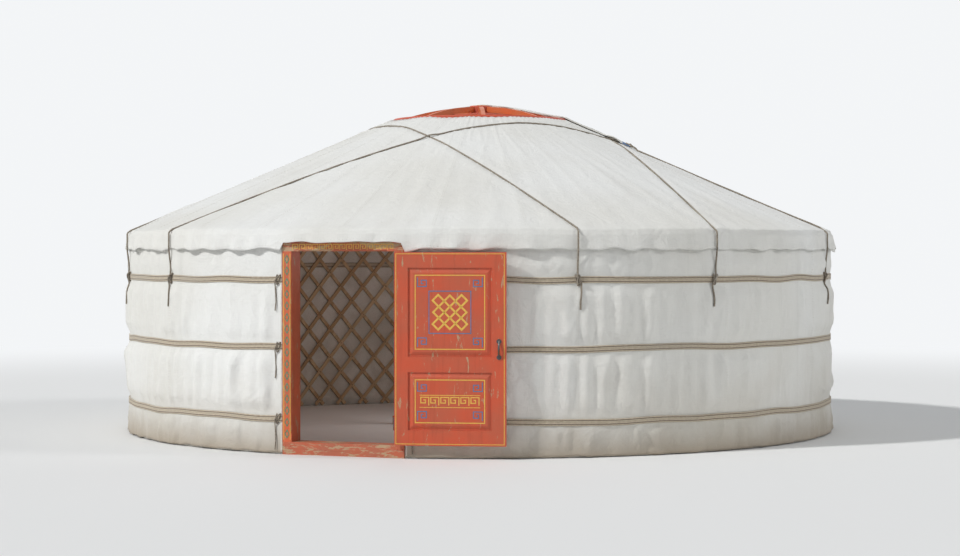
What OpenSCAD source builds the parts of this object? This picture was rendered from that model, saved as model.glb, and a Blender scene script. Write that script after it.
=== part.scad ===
// Five-wall felt yurt: lattice wall, roof poles and crown under felt and white canvas.
// Millimetres, +Z up. The origin is on the ground at the middle of the round room,
// and the doorway faces -Y. Bearings are counted in degrees from the doorway.

/* [Wall] */
// Radius of the lattice wall, at the middle of its two layers of laths
wall_r = 2800; // [2400:50:3200]
// Height of the top row of lath crossings
head_z = 1505; // [1350:5:1650]
// Height of the lowest row of lath crossings
foot_z = 55; // [40:5:80]
// Lattice sections round the wall
sections = 5; // [4:1:6]
// Lattice heads on each section, one for each roof pole
heads = 15; // [11:2:17]
// Rows of half diamonds between the lowest and the top crossings
half_rows = 11; // [9:2:13]
// Width of a lath
lath_w = 30; // [24:1:36]
// Thickness of a lath
lath_t = 12; // [9:1:15]

/* [Coverings] */
// Thickness of the felt on wall and roof
felt_t = 26; // [15:1:40]
// Thickness of the outer canvas with its seams
canvas_t = 4; // [2:1:6]
// Height of the skirt tied round the foot of the wall
skirt_h = 270; // [150:10:400]
// Depth of the hem that hangs over the top of the wall
hem_h = 130; // [80:5:200]

/* [Roof] */
// Outer radius of the crown rim
crown_r = 720; // [600:10:800]
// Height of the pole sockets in the crown rim
socket_z = 2440; // [2300:10:2600]
// Radius of a roof pole at its foot
pole_foot_r = 20; // [16:1:24]
// Radius of a roof pole at its tip
pole_tip_r = 12; // [10:1:14]
// Roof poles that stand on the door lintel
lintel_poles = 6; // [4:1:7]

/* [Crown] */
// Spokes in the crown
spokes = 8; // [6:2:10]
// Rise of the crown from rim to hub
crown_rise = 110; // [60:5:160]
// Half of the crown flap's diagonal
flap_half = 1340; // [1200:10:1500]

/* [Door] */
// Width of the door frame, outside
frame_w = 930; // [800:10:1000]
// Height of the door frame, outside
frame_h = 1536; // [1400:2:1600]
// Width of a jamb
jamb_w = 70; // [50:5:90]
// Depth of the frame through the wall
frame_d = 150; // [120:5:180]
// Height of the threshold
sill_h = 90; // [60:5:120]
// Height of the lintel
lintel_h = 95; // [70:5:120]
// Thickness of the door leaf
leaf_t = 40; // [32:1:48]
// How far the leaf is folded back, 0 being shut
leaf_angle = 193; // [0:1:193]

/* [Ties] */
// Width of a woven wall belt
belt_w = 46; // [30:2:60]
// Thickness of a woven wall belt
belt_t = 7; // [4:1:10]
// Diameter of a roof rope
rope_d = 14; // [10:1:18]

/* [Hidden] */
$fn = 192;
play = 2;                                        // gap between layers that only lie on each other
cloth_low = 5;                                   // the outer cloths end this far above the ground
lap = 1;                                         // bite of the two lath layers where they are lashed
lattice_in = wall_r - lath_t + lap;              // inner face of the lattice
lattice_out = wall_r + lath_t;                   // outer face of the lattice
felt_in = lattice_out + play;
felt_out = felt_in + felt_t;
canvas_out = felt_out + canvas_t;
skirt_out = canvas_out + canvas_t;

hem_stand = 18;                                  // the hem hangs this far off the wall
half_frame = frame_w / 2;
hem_in = canvas_out + hem_stand;
eave_r = hem_in + canvas_t;
frame_front = floor(sqrt(hem_in * hem_in - half_frame * half_frame)) - play;  // behind the hem
door_w = frame_w - 2 * jamb_w;
door_h = frame_h - sill_h - lintel_h;

lattice_start = door_edge(lattice_in);           // bearing of the first lath beside the jamb
lattice_span = 360 - 2 * lattice_start;
column_step = lattice_span / (2 * heads * sections);
row_step = (head_z - foot_z) / half_rows;
column_width = wall_r * column_step * PI / 180;
lath_angle = atan(row_step / column_width);
lath_rise = head_z - foot_z;
lath_low = 12;                                   // the laths end this far above the ground
lath_foot = (foot_z - lath_low) / sin(lath_angle);  // what a lath has below its lowest crossing
lath_head = 76;                                  // what a lath has above its top crossing
section_span = lattice_span / sections;
section_gap = 0.01;                              // degrees left at a lashed section end

// A pole lies in the fork of two lath heads and on the lintel.
pole_seat_z = head_z + lath_w / 2 / cos(lath_angle) + pole_foot_r / cos(lath_angle);
slope = atan((socket_z - pole_seat_z) / (wall_r - crown_r));
pole_end_r = lattice_out - 2;
socket_depth = 34;
socket_r = pole_tip_r + 0.4;

rim_w = 65;
rim_low = socket_z - 45;
rim_top = socket_z + 80;
rim_in = crown_r - rim_w;
spoke_w = 34;
spoke_h = 45;
spoke_foot_z = rim_top - 28;                     // middle of a spoke where it meets the rim
dome_r = (rim_in * rim_in + crown_rise * crown_rise) / (2 * crown_rise);
dome_z = spoke_foot_z + crown_rise - dome_r;
hub_r = 95;
hub_cap = 40;                                    // top of the hub above the spokes' middle line
ring_r = 330;
ring_w = 34;
ring_h = 40;

roof_top_r = crown_r + 2;
roof_under_z = pole_seat_z + (pole_foot_r + play) / cos(slope);  // felt underside over the lattice
felt_v = felt_t / cos(slope);
canvas_v = canvas_t / cos(slope);

belt_levels = [252, 760, 1240];
belt_names = ["belt_low", "belt_middle", "belt_high"];

hinge_r = 9;
hinge_offset = 16;                               // hinge axis in front of the frame's face
hinge_x = door_w / 2 + 3;
hinge_levels = [sill_h + 150, sill_h + door_h / 2, sill_h + door_h - 150];
leaf_w = door_w - 10;
leaf_h = door_h - 10;
leaf_low = sill_h + 5;
stile_w = 96;
rail_h = 108;
rail_share = 0.42;                               // height of the middle rail, as a share of the leaf
panel_cut = 11;                                  // depth of the recess round a raised panel
panel_channel = 10;                              // flat floor of that recess
panel_bevel = 24;                                // slope from the recess up to the raised field
chamfer = 9;                                     // on the door frame's inner arrises
chamfer_stop = 60;                               // the chamfers stop this far from the corners
strap_t = 4;
strap_h = 66;
strap_reach = 96;                                // of a hinge strap over the leaf
rose_t = 6;
bow_half = 55;                                   // from the middle of a bow handle to either rose
bow_rise = 18;

post_x = crown_r - rim_w / 2;
post_w = 82;
post_foot_w = 128;
post_foot_h = 70;
head_h = 150;
head_w = 430;
head_t = 52;
head_block = 34;                                 // height of the block under the hollow
hollow_w = 70;
hollow_h = 50;
nose_r = 34;                                     // rounding at the end of an arm

wall_quarters = 4;
roof_quarters = 4;

// Bearing at which the door frame's side stands on a circle of radius r
function door_edge(r) = asin(frame_w / 2 / r);

// Underside of the roof felt at radius r
function felt_under(r) = roof_under_z + (wall_r - r) * tan(slope);

// Outside of the roof canvas at radius r
function roof_top(r) = felt_under(r) + felt_v + canvas_v;

// Middle line of the crown's dome at radius r
function dome_mid(r) = dome_z + sqrt(dome_r * dome_r - r * r);

function mix(a, b, t) = a + (b - a) * t;

// Turns the +X axis to a bearing counted from the doorway
module bearing(a) {
    rotate([0, 0, a - 90]) children();
}

// A round wall piece between two bearings
module arc_wall(r_in, r_out, z_low, z_high, from, to) {
    bearing(from)
        rotate_extrude(angle = to - from)
            translate([r_in, z_low])
                square([r_out - r_in, z_high - z_low]);
}

// One lath's flat slab, standing through the wall at the bearing of its middle.
// With side 1 it leans to higher bearings as it rises, with side -1 to lower ones.
module lath_slab(middle, side) {
    below = lath_rise / 2 / sin(lath_angle) + lath_foot;
    above = lath_rise / 2 / sin(lath_angle) + lath_head;
    bearing(middle)
        translate([wall_r, 0, (head_z + foot_z) / 2])
            rotate([side * (lath_angle - 90), 0, 0])
                translate([-lath_w * 5, -lath_w / 2, -below])
                    cube([lath_w * 7, lath_w, below + above]);
}

// All the laths that lean one way, cut to one layer of one section.
// Their lowest crossings lie on even columns and their top ones on odd columns.
module lath_layer(section, side, r_in, r_out) {
    first = (section - 1) * 2 * heads;
    from = lattice_start + (section - 1) * section_span + section_gap;
    intersection() {
        arc_wall(r_in, r_out, 0, frame_h + 60, from, from + section_span - 2 * section_gap);
        union() {
            for (foot = [first - half_rows - 1 : 2 : first + 2 * heads + half_rows + 1])
                if (lath_reaches(foot, foot + side * half_rows, first))
                    lath_slab(lattice_start + (foot + side * half_rows / 2) * column_step, side);
        }
    }
}

// Whether a lath from one column to another has a part in the section that starts at first
function lath_reaches(foot, head, first) =
    max(foot, head) >= first && min(foot, head) <= first + 2 * heads;

module lattice_wall(section) {
    color("burlywood") {
        lath_layer(section, 1, wall_r, lattice_out);
        lath_layer(section, -1, lattice_in, wall_r + lap);
    }
}

// A pole from the wall to its socket in the crown rim
module roof_pole(at) {
    tip_r = crown_r - (socket_depth - 2) * cos(slope);
    length = (pole_end_r - tip_r) / cos(slope);
    bearing(at)
        translate([pole_end_r, 0, pole_seat_z - (pole_end_r - wall_r) * tan(slope)])
            rotate([0, slope - 90, 0])
                cylinder(h = length, r1 = pole_foot_r, r2 = pole_tip_r, $fn = 32);
}

function pole_bearing(head) = lattice_start + (2 * head + 1) * column_step;

function lintel_bearing(i) = ((i + 0.5) / lintel_poles - 0.5) * 2 * lattice_start;

module roof_poles(section) {
    color("orangered")
        for (head = [(section - 1) * heads : section * heads - 1])
            roof_pole(pole_bearing(head));
}

module roof_poles_door() {
    color("orangered")
        for (i = [0 : lintel_poles - 1])
            roof_pole(lintel_bearing(i));
}

module socket(at) {
    bearing(at)
        translate([crown_r, 0, socket_z])
            rotate([0, slope - 90, 0])
                translate([0, 0, -socket_depth])
                    cylinder(h = 2 * socket_depth, r = socket_r, $fn = 32);
}

module crown_rim() {
    edge = 10;
    color("firebrick")
        difference() {
            rotate_extrude()
                polygon([
                    [rim_in, rim_low + edge], [rim_in + edge, rim_low],
                    [crown_r - edge, rim_low], [crown_r, rim_low + edge],
                    [crown_r, rim_top - edge], [crown_r - edge, rim_top],
                    [rim_in + edge, rim_top], [rim_in, rim_top - edge]]);
            for (head = [0 : sections * heads - 1])
                socket(pole_bearing(head));
            for (i = [0 : lintel_poles - 1])
                socket(lintel_bearing(i));
        }
}

// A spoke is one arc of the dome, from the hub's neck to the inner face of the rim
module spoke(at) {
    from = hub_r - 5;
    to = sqrt(rim_in * rim_in - spoke_w * spoke_w / 4);
    bearing(at)
        rotate([90, 0, 0])
            translate([0, 0, -spoke_w / 2])
                linear_extrude(height = spoke_w)
                    intersection() {
                        translate([0, dome_z])
                            difference() {
                                circle(r = dome_r + spoke_h / 2);
                                circle(r = dome_r - spoke_h / 2);
                            }
                        translate([from, rim_low])
                            square([to - from, rim_top + crown_rise - rim_low]);
                    }
}

module crown_spokes() {
    color("firebrick")
        for (i = [0 : spokes - 1])
            spoke((i + 0.5) * 360 / spokes);
}

// The ring lies under the spokes, its top cut to their slope
module crown_ring() {
    top_in = dome_mid(ring_r - ring_w / 2) - spoke_h / 2 - play;
    top_out = dome_mid(ring_r + ring_w / 2) - spoke_h / 2 - play;
    color("firebrick")
        rotate_extrude()
            polygon([
                [ring_r - ring_w / 2, top_out - ring_h], [ring_r + ring_w / 2, top_out - ring_h],
                [ring_r + ring_w / 2, top_out], [ring_r - ring_w / 2, top_in]]);
}

// A turned boss that the spokes meet
module crown_hub() {
    mid = dome_mid(hub_r);
    neck_r = hub_r - 5;
    color("goldenrod")
        rotate_extrude()
            polygon([
                [0, mid - 66], [34, mid - 66], [48, mid - 52], [62, mid - 34], [hub_r, mid - 26],
                [neck_r, mid - 24], [neck_r, mid + 24],
                [hub_r - 12, mid + hub_cap - 6], [0, mid + hub_cap]]);
}

// An eight-sided shaft with a square foot block
module post(side) {
    color("darkorange")
        translate([side * post_x, 0, 0]) {
            translate([-post_foot_w / 2, -post_foot_w / 2, 0])
                cube([post_foot_w, post_foot_w, post_foot_h]);
            rotate([0, 0, 22.5])
                cylinder(h = rim_low - head_h, d = post_w / cos(22.5), $fn = 8);
        }
}

// Half outline of a post head: a block on the shaft, then an arm with a hollow under it
function head_outline() = concat(
    [[0, 0], [post_w / 2, 0], [post_w / 2, head_block]],
    [for (a = [180 : -15 : 90])
        [post_w / 2 + hollow_w * (1 + cos(a)), head_block + hollow_h * sin(a)]],
    [[head_w / 2 - nose_r, head_block + hollow_h]],
    [for (a = [-60 : 20 : 60])
        [head_w / 2 - nose_r * (1 - cos(a)), head_h - nose_r + nose_r * sin(a)]],
    [[head_w / 2 - nose_r, head_h], [0, head_h]]);

module post_head(side) {
    translate([side * post_x, 0, rim_low - head_h])
        rotate([90, 0, 90])
            translate([0, 0, -head_t / 2])
                linear_extrude(height = head_t)
                    union() {
                        polygon(head_outline());
                        mirror([1, 0]) polygon(head_outline());
                    }
}

module post_heads() {
    color("darkorange") {
        post_head(-1);
        post_head(1);
    }
}

function wall_part(i) = mix(door_edge(felt_in), 360 - door_edge(felt_in), i / wall_quarters);

module wall_felt(quarter) {
    seam = 0.04;
    color("whitesmoke")
        arc_wall(felt_in, felt_out, 0, felt_under(felt_out) - play,
            wall_part(quarter - 1) + seam, wall_part(quarter) - seam);
}

// Part of the roof cone between two bearings, thick layers being measured straight up
module roof_cone(r_top, r_low, under, thick, from, to) {
    bearing(from)
        rotate_extrude(angle = to - from)
            polygon([
                [r_top, felt_under(r_top) + under], [r_low, felt_under(r_low) + under],
                [r_low, felt_under(r_low) + under + thick],
                [r_top, felt_under(r_top) + under + thick]]);
}

module roof_felt(quarter) {
    seam = 0.04;
    part = 360 / roof_quarters;
    color("whitesmoke")
        roof_cone(roof_top_r, felt_out, 0, felt_v,
            (quarter - 1) * part + seam, quarter * part - seam);
}

module wall_canvas() {
    color("white")
        arc_wall(felt_out, canvas_out, cloth_low, felt_under(canvas_out) - play,
            door_edge(felt_out), 360 - door_edge(felt_out));
}

module roof_canvas() {
    color("white")
        bearing(0)
            rotate_extrude()
                polygon([
                    [roof_top_r, felt_under(roof_top_r) + felt_v],
                    [eave_r, felt_under(eave_r) + felt_v],
                    [eave_r, roof_top(eave_r)],
                    [roof_top_r, roof_top(roof_top_r)]]);
}

// The hem hangs all round, and is cut short where it hangs over the lintel
module eave_hem() {
    top = felt_under(eave_r) + felt_v;
    short = top - frame_h + lintel_h * 0.4;
    color("white")
        difference() {
            rotate_extrude()
                translate([hem_in, top - hem_h])
                    square([canvas_t, hem_h]);
            translate([-half_frame - play, -eave_r - canvas_t, top - hem_h - canvas_t])
                cube([frame_w + 2 * play, frame_d, hem_h - short + canvas_t]);
        }
}

module wall_skirt() {
    color("ivory")
        arc_wall(canvas_out, skirt_out, cloth_low, skirt_h,
            door_edge(canvas_out), 360 - door_edge(canvas_out));
}

// The band that holds the lattice walls in, between the laths and the felt
module inner_belt() {
    level = head_z - 1.5 * row_step;
    color("tan")
        arc_wall(lattice_out, felt_in, level - belt_w / 2, level + belt_w / 2,
            door_edge(lattice_out), 360 - door_edge(lattice_out));
}

module wall_belt(level) {
    r = level < skirt_h ? skirt_out : canvas_out;
    color("tan")
        arc_wall(r, r + belt_t, level - belt_w / 2, level + belt_w / 2,
            door_edge(r), 360 - door_edge(r));
}

// Height of the flap's underside over hub, spokes, rim and roof
function flap_under(r) =
    r <= hub_r ? dome_mid(hub_r) + hub_cap + play
    : r <= crown_r ? max(dome_mid(r) + spoke_h / 2 + 2 * play, rim_top + play)
    : r < crown_r + flap_reach
        ? mix(rim_top, roof_top(crown_r + flap_reach), (r - crown_r) / flap_reach) + play
    : roof_top(r) + play;

flap_t = 14;
flap_reach = 150;                                // the flap spans this far from the rim to the roof
flap_radii = concat(
    [0, hub_r], [for (r = [150 : 80 : rim_in]) r],
    [rim_in, crown_r, crown_r + flap_reach, flap_half + 10]);

// Half of a square sheet folded on its diagonal, lying over the back half of the crown
module crown_flap() {
    color("white")
        intersection() {
            rotate_extrude()
                polygon(concat(
                    [for (r = flap_radii) [r, flap_under(r)]],
                    [for (r = reversed(flap_radii)) [r, flap_under(r) + flap_t]]));
            translate([0, 0, roof_top(flap_half) - flap_t])
                linear_extrude(height = rim_top + 2 * crown_rise - roof_top(flap_half))
                    polygon([[-flap_half, 0], [flap_half, 0], [0, flap_half]]);
        }
}

// A tube of round section swept along points
rope_sides = 8;
module rope(path) {
    last = len(path) - 1;
    function way(i) = path[min(i + 1, last)] - path[max(i - 1, 0)];
    function across(i) = unit(cross(way(i), [0.31, 0.17, 0.94]));
    function ring(i) = let (u = across(i), v = unit(cross(way(i), u)))
        [for (k = [0 : rope_sides - 1])
            path[i] + rope_d / 2 * (cos(k * 360 / rope_sides) * u + sin(k * 360 / rope_sides) * v)];
    points = [for (i = [0 : last]) each ring(i)];
    sides = [for (i = [0 : last - 1]) for (k = [0 : rope_sides - 1])
        let (a = i * rope_sides + k, b = i * rope_sides + (k + 1) % rope_sides)
            each [[a, b, b + rope_sides], [a, b + rope_sides, a + rope_sides]]];
    ends = [
        [for (k = [rope_sides - 1 : -1 : 0]) k],
        [for (k = [0 : rope_sides - 1]) last * rope_sides + k]];
    polyhedron(points = points, faces = concat(sides, ends));
}

function unit(v) = v / norm(v);

// A point at a bearing, radius and height
function at_bearing(a, r, z) = [r * sin(a), -r * cos(a), z];

rope_lift = rope_d / 2 + play;
rope_tie_z = belt_levels[2];
wall_rope_r = eave_r + rope_lift;

// From the eave a rope drops outside the hem to the top belt
function rope_drop(a) = [
    at_bearing(a, eave_r - 30, roof_top(eave_r - 30) + rope_lift),
    at_bearing(a, eave_r + 1, roof_top(eave_r) + rope_lift * 0.6),
    at_bearing(a, wall_rope_r, roof_top(eave_r) - rope_lift),
    at_bearing(a, wall_rope_r, roof_top(eave_r) - hem_h),
    at_bearing(a, canvas_out + rope_lift + belt_t, rope_tie_z - belt_w / 2)];

function reversed(list) = [for (i = [len(list) - 1 : -1 : 0]) list[i]];

// A taut rope over a cone runs straight when the cone is unrolled
rope_pass_r = 850;
function rope_radius(turn) = rope_pass_r / cos(turn * cos(slope));
rope_half_turn = acos(rope_pass_r / (eave_r - 60)) / cos(slope);

module roof_rope(middle) {
    steps = 18;
    over = [for (i = [-steps : steps])
        let (turn = rope_half_turn * i / steps, r = rope_radius(turn))
            at_bearing(middle + turn, r, roof_top(r) + rope_lift)];
    rope(concat(
        reversed(rope_drop(middle - rope_half_turn)), over, rope_drop(middle + rope_half_turn)));
}

module roof_ropes() {
    color("tan")
        for (middle = [45 : 90 : 315])
            roof_rope(middle);
}

// A rope from a corner of the flap straight down the roof
module flap_rope(a, r_from) {
    steps = 8;
    down = [for (i = [0 : steps])
        let (r = mix(r_from, eave_r - 60, i / steps))
            at_bearing(a, r, roof_top(r) + rope_lift)];
    rope(concat(down, rope_drop(a)));
}

module flap_ropes() {
    color("tan") {
        for (a = [90, 270])
            flap_rope(a, flap_half - 20);
        flap_rope(180, flap_half - 20);
    }
}

module door_sill() {
    color("sienna")
        translate([-half_frame, -frame_front, 0])
            cube([frame_w, frame_d, sill_h]);
}

// A square bar on edge that cuts a chamfer along an arris, upwards from the origin
module arris_cut(length) {
    rotate([0, 0, 45])
        translate([-chamfer / sqrt(2), -chamfer / sqrt(2), 0])
            cube([chamfer * sqrt(2), chamfer * sqrt(2), length]);
}

module door_lintel() {
    low = frame_h - lintel_h;
    color("sienna")
        difference() {
            translate([-half_frame, -frame_front, low]) cube([frame_w, frame_d, lintel_h]);
            translate([chamfer_stop - door_w / 2, -frame_front, low])
                rotate([0, 90, 0])
                    arris_cut(door_w - 2 * chamfer_stop);
        }
}

module door_jamb(side) {
    color("sienna")
        difference() {
            translate([side * (half_frame - jamb_w / 2) - jamb_w / 2, -frame_front, sill_h])
                cube([jamb_w, frame_d, door_h]);
            translate([side * door_w / 2, -frame_front, sill_h + chamfer_stop])
                arris_cut(door_h - 2 * chamfer_stop);
        }
}

// Places what belongs to the leaf as the leaf stands on its hinges
module on_leaf() {
    translate([hinge_x, -frame_front - hinge_offset, 0])
        rotate([0, 0, leaf_angle])
            translate([-hinge_x, hinge_offset, 0])
                children();
}

// A raised field with four sloping sides, standing out towards +Y from the floor of its recess
module raised_field(half_w, h) {
    intersection() {
        linear_extrude(height = h)
            polygon([
                [-half_w, 0], [half_w, 0],
                [half_w - panel_bevel, panel_cut], [panel_bevel - half_w, panel_cut]]);
        translate([-half_w, 0, 0])
            rotate([90, 0, 90])
                linear_extrude(height = 2 * half_w)
                    polygon([[0, 0], [panel_cut, panel_bevel], [panel_cut, h - panel_bevel], [0, h]]);
    }
}

// What is cut away round a raised field, from the +Y side
module panel_recess(z_low, z_high) {
    half_w = leaf_w / 2 - stile_w;
    h = z_high - z_low;
    difference() {
        translate([-half_w, 0, z_low]) cube([2 * half_w, panel_cut, h]);
        translate([0, 0, z_low + panel_channel])
            raised_field(half_w - panel_channel, h - 2 * panel_channel);
    }
}

module panel_recesses() {
    split = leaf_low + leaf_h * rail_share;
    panel_recess(leaf_low + rail_h, split - rail_h / 2);
    panel_recess(split + rail_h / 2, leaf_low + leaf_h - rail_h);
}

// Two framed panels, fielded on both faces
module door_leaf() {
    color("chocolate")
        on_leaf()
            difference() {
                translate([-leaf_w / 2, 0, leaf_low]) cube([leaf_w, leaf_t, leaf_h]);
                translate([0, leaf_t - panel_cut, 0]) panel_recesses();
                mirror([0, 1, 0]) translate([0, -panel_cut, 0]) panel_recesses();
            }
}

// A knuckle on the hinge axis, with one strap on the jamb and one on the leaf
module hinge(level) {
    knuckle_h = strap_h + 6 * strap_t;
    translate([hinge_x, -frame_front - hinge_offset, level - knuckle_h / 2])
        cylinder(h = knuckle_h, r = hinge_r, $fn = 32);
    translate([hinge_x, -frame_front - strap_t, level - strap_h / 2])
        cube([jamb_w - 3 * strap_t, strap_t, strap_h]);
    translate([hinge_x - strap_t / 2, -frame_front - hinge_offset, level - strap_h / 2])
        cube([strap_t, hinge_offset, strap_h]);
    on_leaf() {
        translate([hinge_x - strap_reach, -strap_t, level - strap_h / 2])
            cube([strap_reach, strap_t, strap_h]);
        translate([hinge_x - strap_t / 2, -hinge_offset, level - strap_h / 2])
            cube([strap_t, hinge_offset, strap_h]);
    }
}

module door_hinges() {
    color("dimgray")
        for (level = hinge_levels)
            hinge(level);
}

// A bow handle standing out towards -Y between two round roses
module bow_handle() {
    bar_r = 7;
    rose_r = 17;
    bow_r = (bow_half * bow_half + bow_rise * bow_rise) / (2 * bow_rise);
    turn = asin(bow_half / bow_r);
    for (z = [-bow_half, bow_half])
        translate([0, 0, z])
            rotate([90, 0, 0])
                cylinder(h = rose_t, r = rose_r, $fn = 48);
    translate([0, bow_r - bow_rise - rose_t, 0])
        rotate([90, 0, -90])
            rotate([0, 0, -turn])
                rotate_extrude(angle = 2 * turn)
                    translate([bow_r, 0]) circle(r = bar_r, $fn = 32);
}

module door_handle() {
    level = leaf_low + leaf_h * 0.5;
    x = -leaf_w / 2 + stile_w / 2;
    color("dimgray")
        on_leaf() {
            translate([x, 0, level]) bow_handle();
            translate([x, leaf_t, level]) rotate([0, 0, 180]) mirror([1, 0, 0]) bow_handle();
        }
}

door_sill();
door_jamb(-1);  // door_jamb_left
door_jamb(1);  // door_jamb_right
door_lintel();
door_leaf();
door_hinges();
door_handle();
for (i = [1 : sections])
    lattice_wall(i);
for (i = [1 : sections])
    roof_poles(i);
roof_poles_door();
crown_rim();
crown_spokes();
crown_ring();
crown_hub();
post(-1);  // post_left
post(1);  // post_right
post_heads();
for (i = [1 : wall_quarters])
    wall_felt(i);
for (i = [1 : roof_quarters])
    roof_felt(i);
wall_canvas();
roof_canvas();
eave_hem();
wall_skirt();
crown_flap();
flap_ropes();
roof_ropes();
inner_belt();
for (i = [0 : len(belt_names) - 1])
    wall_belt(belt_levels[i]);
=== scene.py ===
import math
import bmesh
import bpy
import numpy as np
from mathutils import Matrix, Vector
from mathutils.bvhtree import BVHTree


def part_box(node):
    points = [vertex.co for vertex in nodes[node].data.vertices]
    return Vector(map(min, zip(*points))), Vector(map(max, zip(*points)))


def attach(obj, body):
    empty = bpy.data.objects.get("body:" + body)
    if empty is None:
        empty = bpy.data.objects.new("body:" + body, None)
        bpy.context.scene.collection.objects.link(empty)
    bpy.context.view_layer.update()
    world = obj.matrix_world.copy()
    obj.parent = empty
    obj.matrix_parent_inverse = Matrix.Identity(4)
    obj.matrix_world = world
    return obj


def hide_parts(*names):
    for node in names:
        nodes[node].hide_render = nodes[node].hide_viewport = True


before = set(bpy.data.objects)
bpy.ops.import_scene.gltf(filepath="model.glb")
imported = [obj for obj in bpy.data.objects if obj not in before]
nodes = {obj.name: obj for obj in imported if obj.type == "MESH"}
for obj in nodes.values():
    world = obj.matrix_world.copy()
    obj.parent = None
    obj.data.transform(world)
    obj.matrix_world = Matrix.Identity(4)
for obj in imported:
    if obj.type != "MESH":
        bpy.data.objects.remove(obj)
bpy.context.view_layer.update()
print("frame loaded:", len(nodes), "nodes")

# sizes that the solids already hold, in metres; bearings are counted from the doorway
lowOf = {name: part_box(name)[0] for name in nodes}
highOf = {name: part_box(name)[1] for name in nodes}
halfDoor, lintelLow = highOf["door_lintel"].x, lowOf["door_lintel"].z
frameFront = -lowOf["door_lintel"].y
sillTop = highOf["door_sill"].z
doorHalf, jambOut = lowOf["door_jamb_right"].x, highOf["door_jamb_right"].x
leafLow, leafTop = lowOf["door_leaf"].z, highOf["door_leaf"].z
latticeIn = 2.789                                 # inner face of the laths
poleCount = 81                                    # roof poles, all round the crown
feltIn, feltOut = highOf["inner_belt"].x, highOf["wall_felt_1"].x
wallR, wallTop, clothLow = highOf["wall_canvas"].x, highOf["wall_canvas"].z, lowOf["wall_canvas"].z
skirtR, skirtTop = highOf["wall_skirt"].x, highOf["wall_skirt"].z
eaveR, hemLow = highOf["eave_hem"].x, lowOf["eave_hem"].z
crownR, rimTop, rimLow = highOf["crown_rim"].x, highOf["crown_rim"].z, lowOf["crown_rim"].z
hubTop = highOf["crown_hub"].z
rimWide = 0.065
rimIn = crownR - rimWide
coverR = crownR + 0.002                           # where felt and canvas end at the crown
coverTop = highOf["roof_canvas"].z
coverDrop = coverTop - lowOf["roof_canvas"].z
canvasThick = 0.004                               # of the solid roof canvas
sinkFrom = (1.0, 2.6)                             # radii over which felt and canvas sink between poles
slope = 0.4                                       # a first guess, closed in on below
for _ in range(6):
    slope = math.atan((coverDrop - canvasThick / math.cos(slope)) / (eaveR - coverR))
beltZ = [(lowOf[n].z + highOf[n].z) / 2 for n in ("belt_low", "belt_middle", "belt_high")]


def roofZ(r):
    return coverTop - (r - coverR) * math.tan(slope)   # outside of the roof canvas


def polar(bearing, r, z):
    return Vector((r * math.sin(bearing), -r * math.cos(bearing), z))


def inward(bearing):
    return Vector((-math.sin(bearing), math.cos(bearing), 0))


def ringGrid(around, r, z):
    return np.stack([r * np.sin(around), -r * np.cos(around), z], -1)


def doorEdge(r):
    return math.asin(halfDoor / r)


def turnFrom(angles, bearing):
    return (angles - bearing + math.pi) % math.tau - math.pi


def smooth(low, high, value):
    t = np.clip((value - low) / (high - low), 0.0, 1.0)
    return t * t * (3 - 2 * t)


def hump(distance, width):
    return np.exp(-((distance / width) ** 2))


def ripples(around, along, seed, count, turns, pitch):
    # sum of random waves that close up round the circle, about 1 in size
    rng = np.random.default_rng(seed)
    total = np.zeros(np.broadcast(around, along).shape)
    for _ in range(count):
        n = int(rng.integers(turns[0], turns[1] + 1))
        m = rng.uniform(pitch[0], pitch[1]) * rng.choice((-1, 1))
        total += np.sin(n * around + m * along + rng.uniform(0, 2 * math.pi))
    return total / math.sqrt(count / 2)


def creases(along, across, period, seed, count, length, width, height, lean, rows=None):
    # sum of short soft ridges at random places; along is periodic
    rng = np.random.default_rng(seed)
    total = np.zeros(np.broadcast(along, across).shape)
    lowest, highest = across.min(), across.max()
    for _ in range(count):
        middle = rng.uniform(0, period)
        level = rng.choice(rows) + rng.normal(0, 0.06) if rows else rng.uniform(lowest, highest)
        angle = rng.uniform(-lean, lean)
        long, wide = rng.uniform(*length), rng.uniform(*width)
        size = rng.uniform(*height) * (1 if rng.random() < 0.75 else -0.6)
        da = (along - middle + period / 2) % period - period / 2
        dv = across - level
        side = da * math.cos(angle) - dv * math.sin(angle)
        run = da * math.sin(angle) + dv * math.cos(angle)
        total += size * hump(side, wide) * hump(run, long)
    return total


def newObject(name, data):
    obj = bpy.data.objects.new(name, data)
    bpy.context.scene.collection.objects.link(obj)
    return obj


def meshObject(name, verts, faces, uvs=None, isSmooth=True, period=None):
    mesh = bpy.data.meshes.new(name)
    mesh.from_pydata([tuple(map(float, v)) for v in verts], [], [tuple(map(int, f)) for f in faces])
    if uvs is not None:
        layer = mesh.uv_layers.new(name="cloth")
        corner = np.empty(len(mesh.loops), np.int32)
        mesh.loops.foreach_get("vertex_index", corner)
        spread = np.asarray(uvs, np.float32).reshape(-1, 2)[corner]
        if period:
            # the map of a sheet that closes runs on over its last faces
            spread = spread.reshape(-1, 4, 2)
            isLast = np.ptp(spread[..., 0], axis=1) > period / 2
            spread[isLast, :, 0] += period * (spread[isLast, :, 0] < period / 2)
        layer.data.foreach_set("uv", spread.ravel())
    mesh.polygons.foreach_set("use_smooth", [isSmooth] * len(mesh.polygons))
    mesh.update()
    return newObject(name, mesh)


def gridFaces(rows, cols, closed=False, flip=False):
    faces = []
    for i in range(rows - 1):
        for j in range(cols if closed else cols - 1):
            a, b = i * cols + j, i * cols + (j + 1) % cols
            face = (a, b, b + cols, a + cols)
            faces.append(face[::-1] if flip else face)
    return faces


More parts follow.
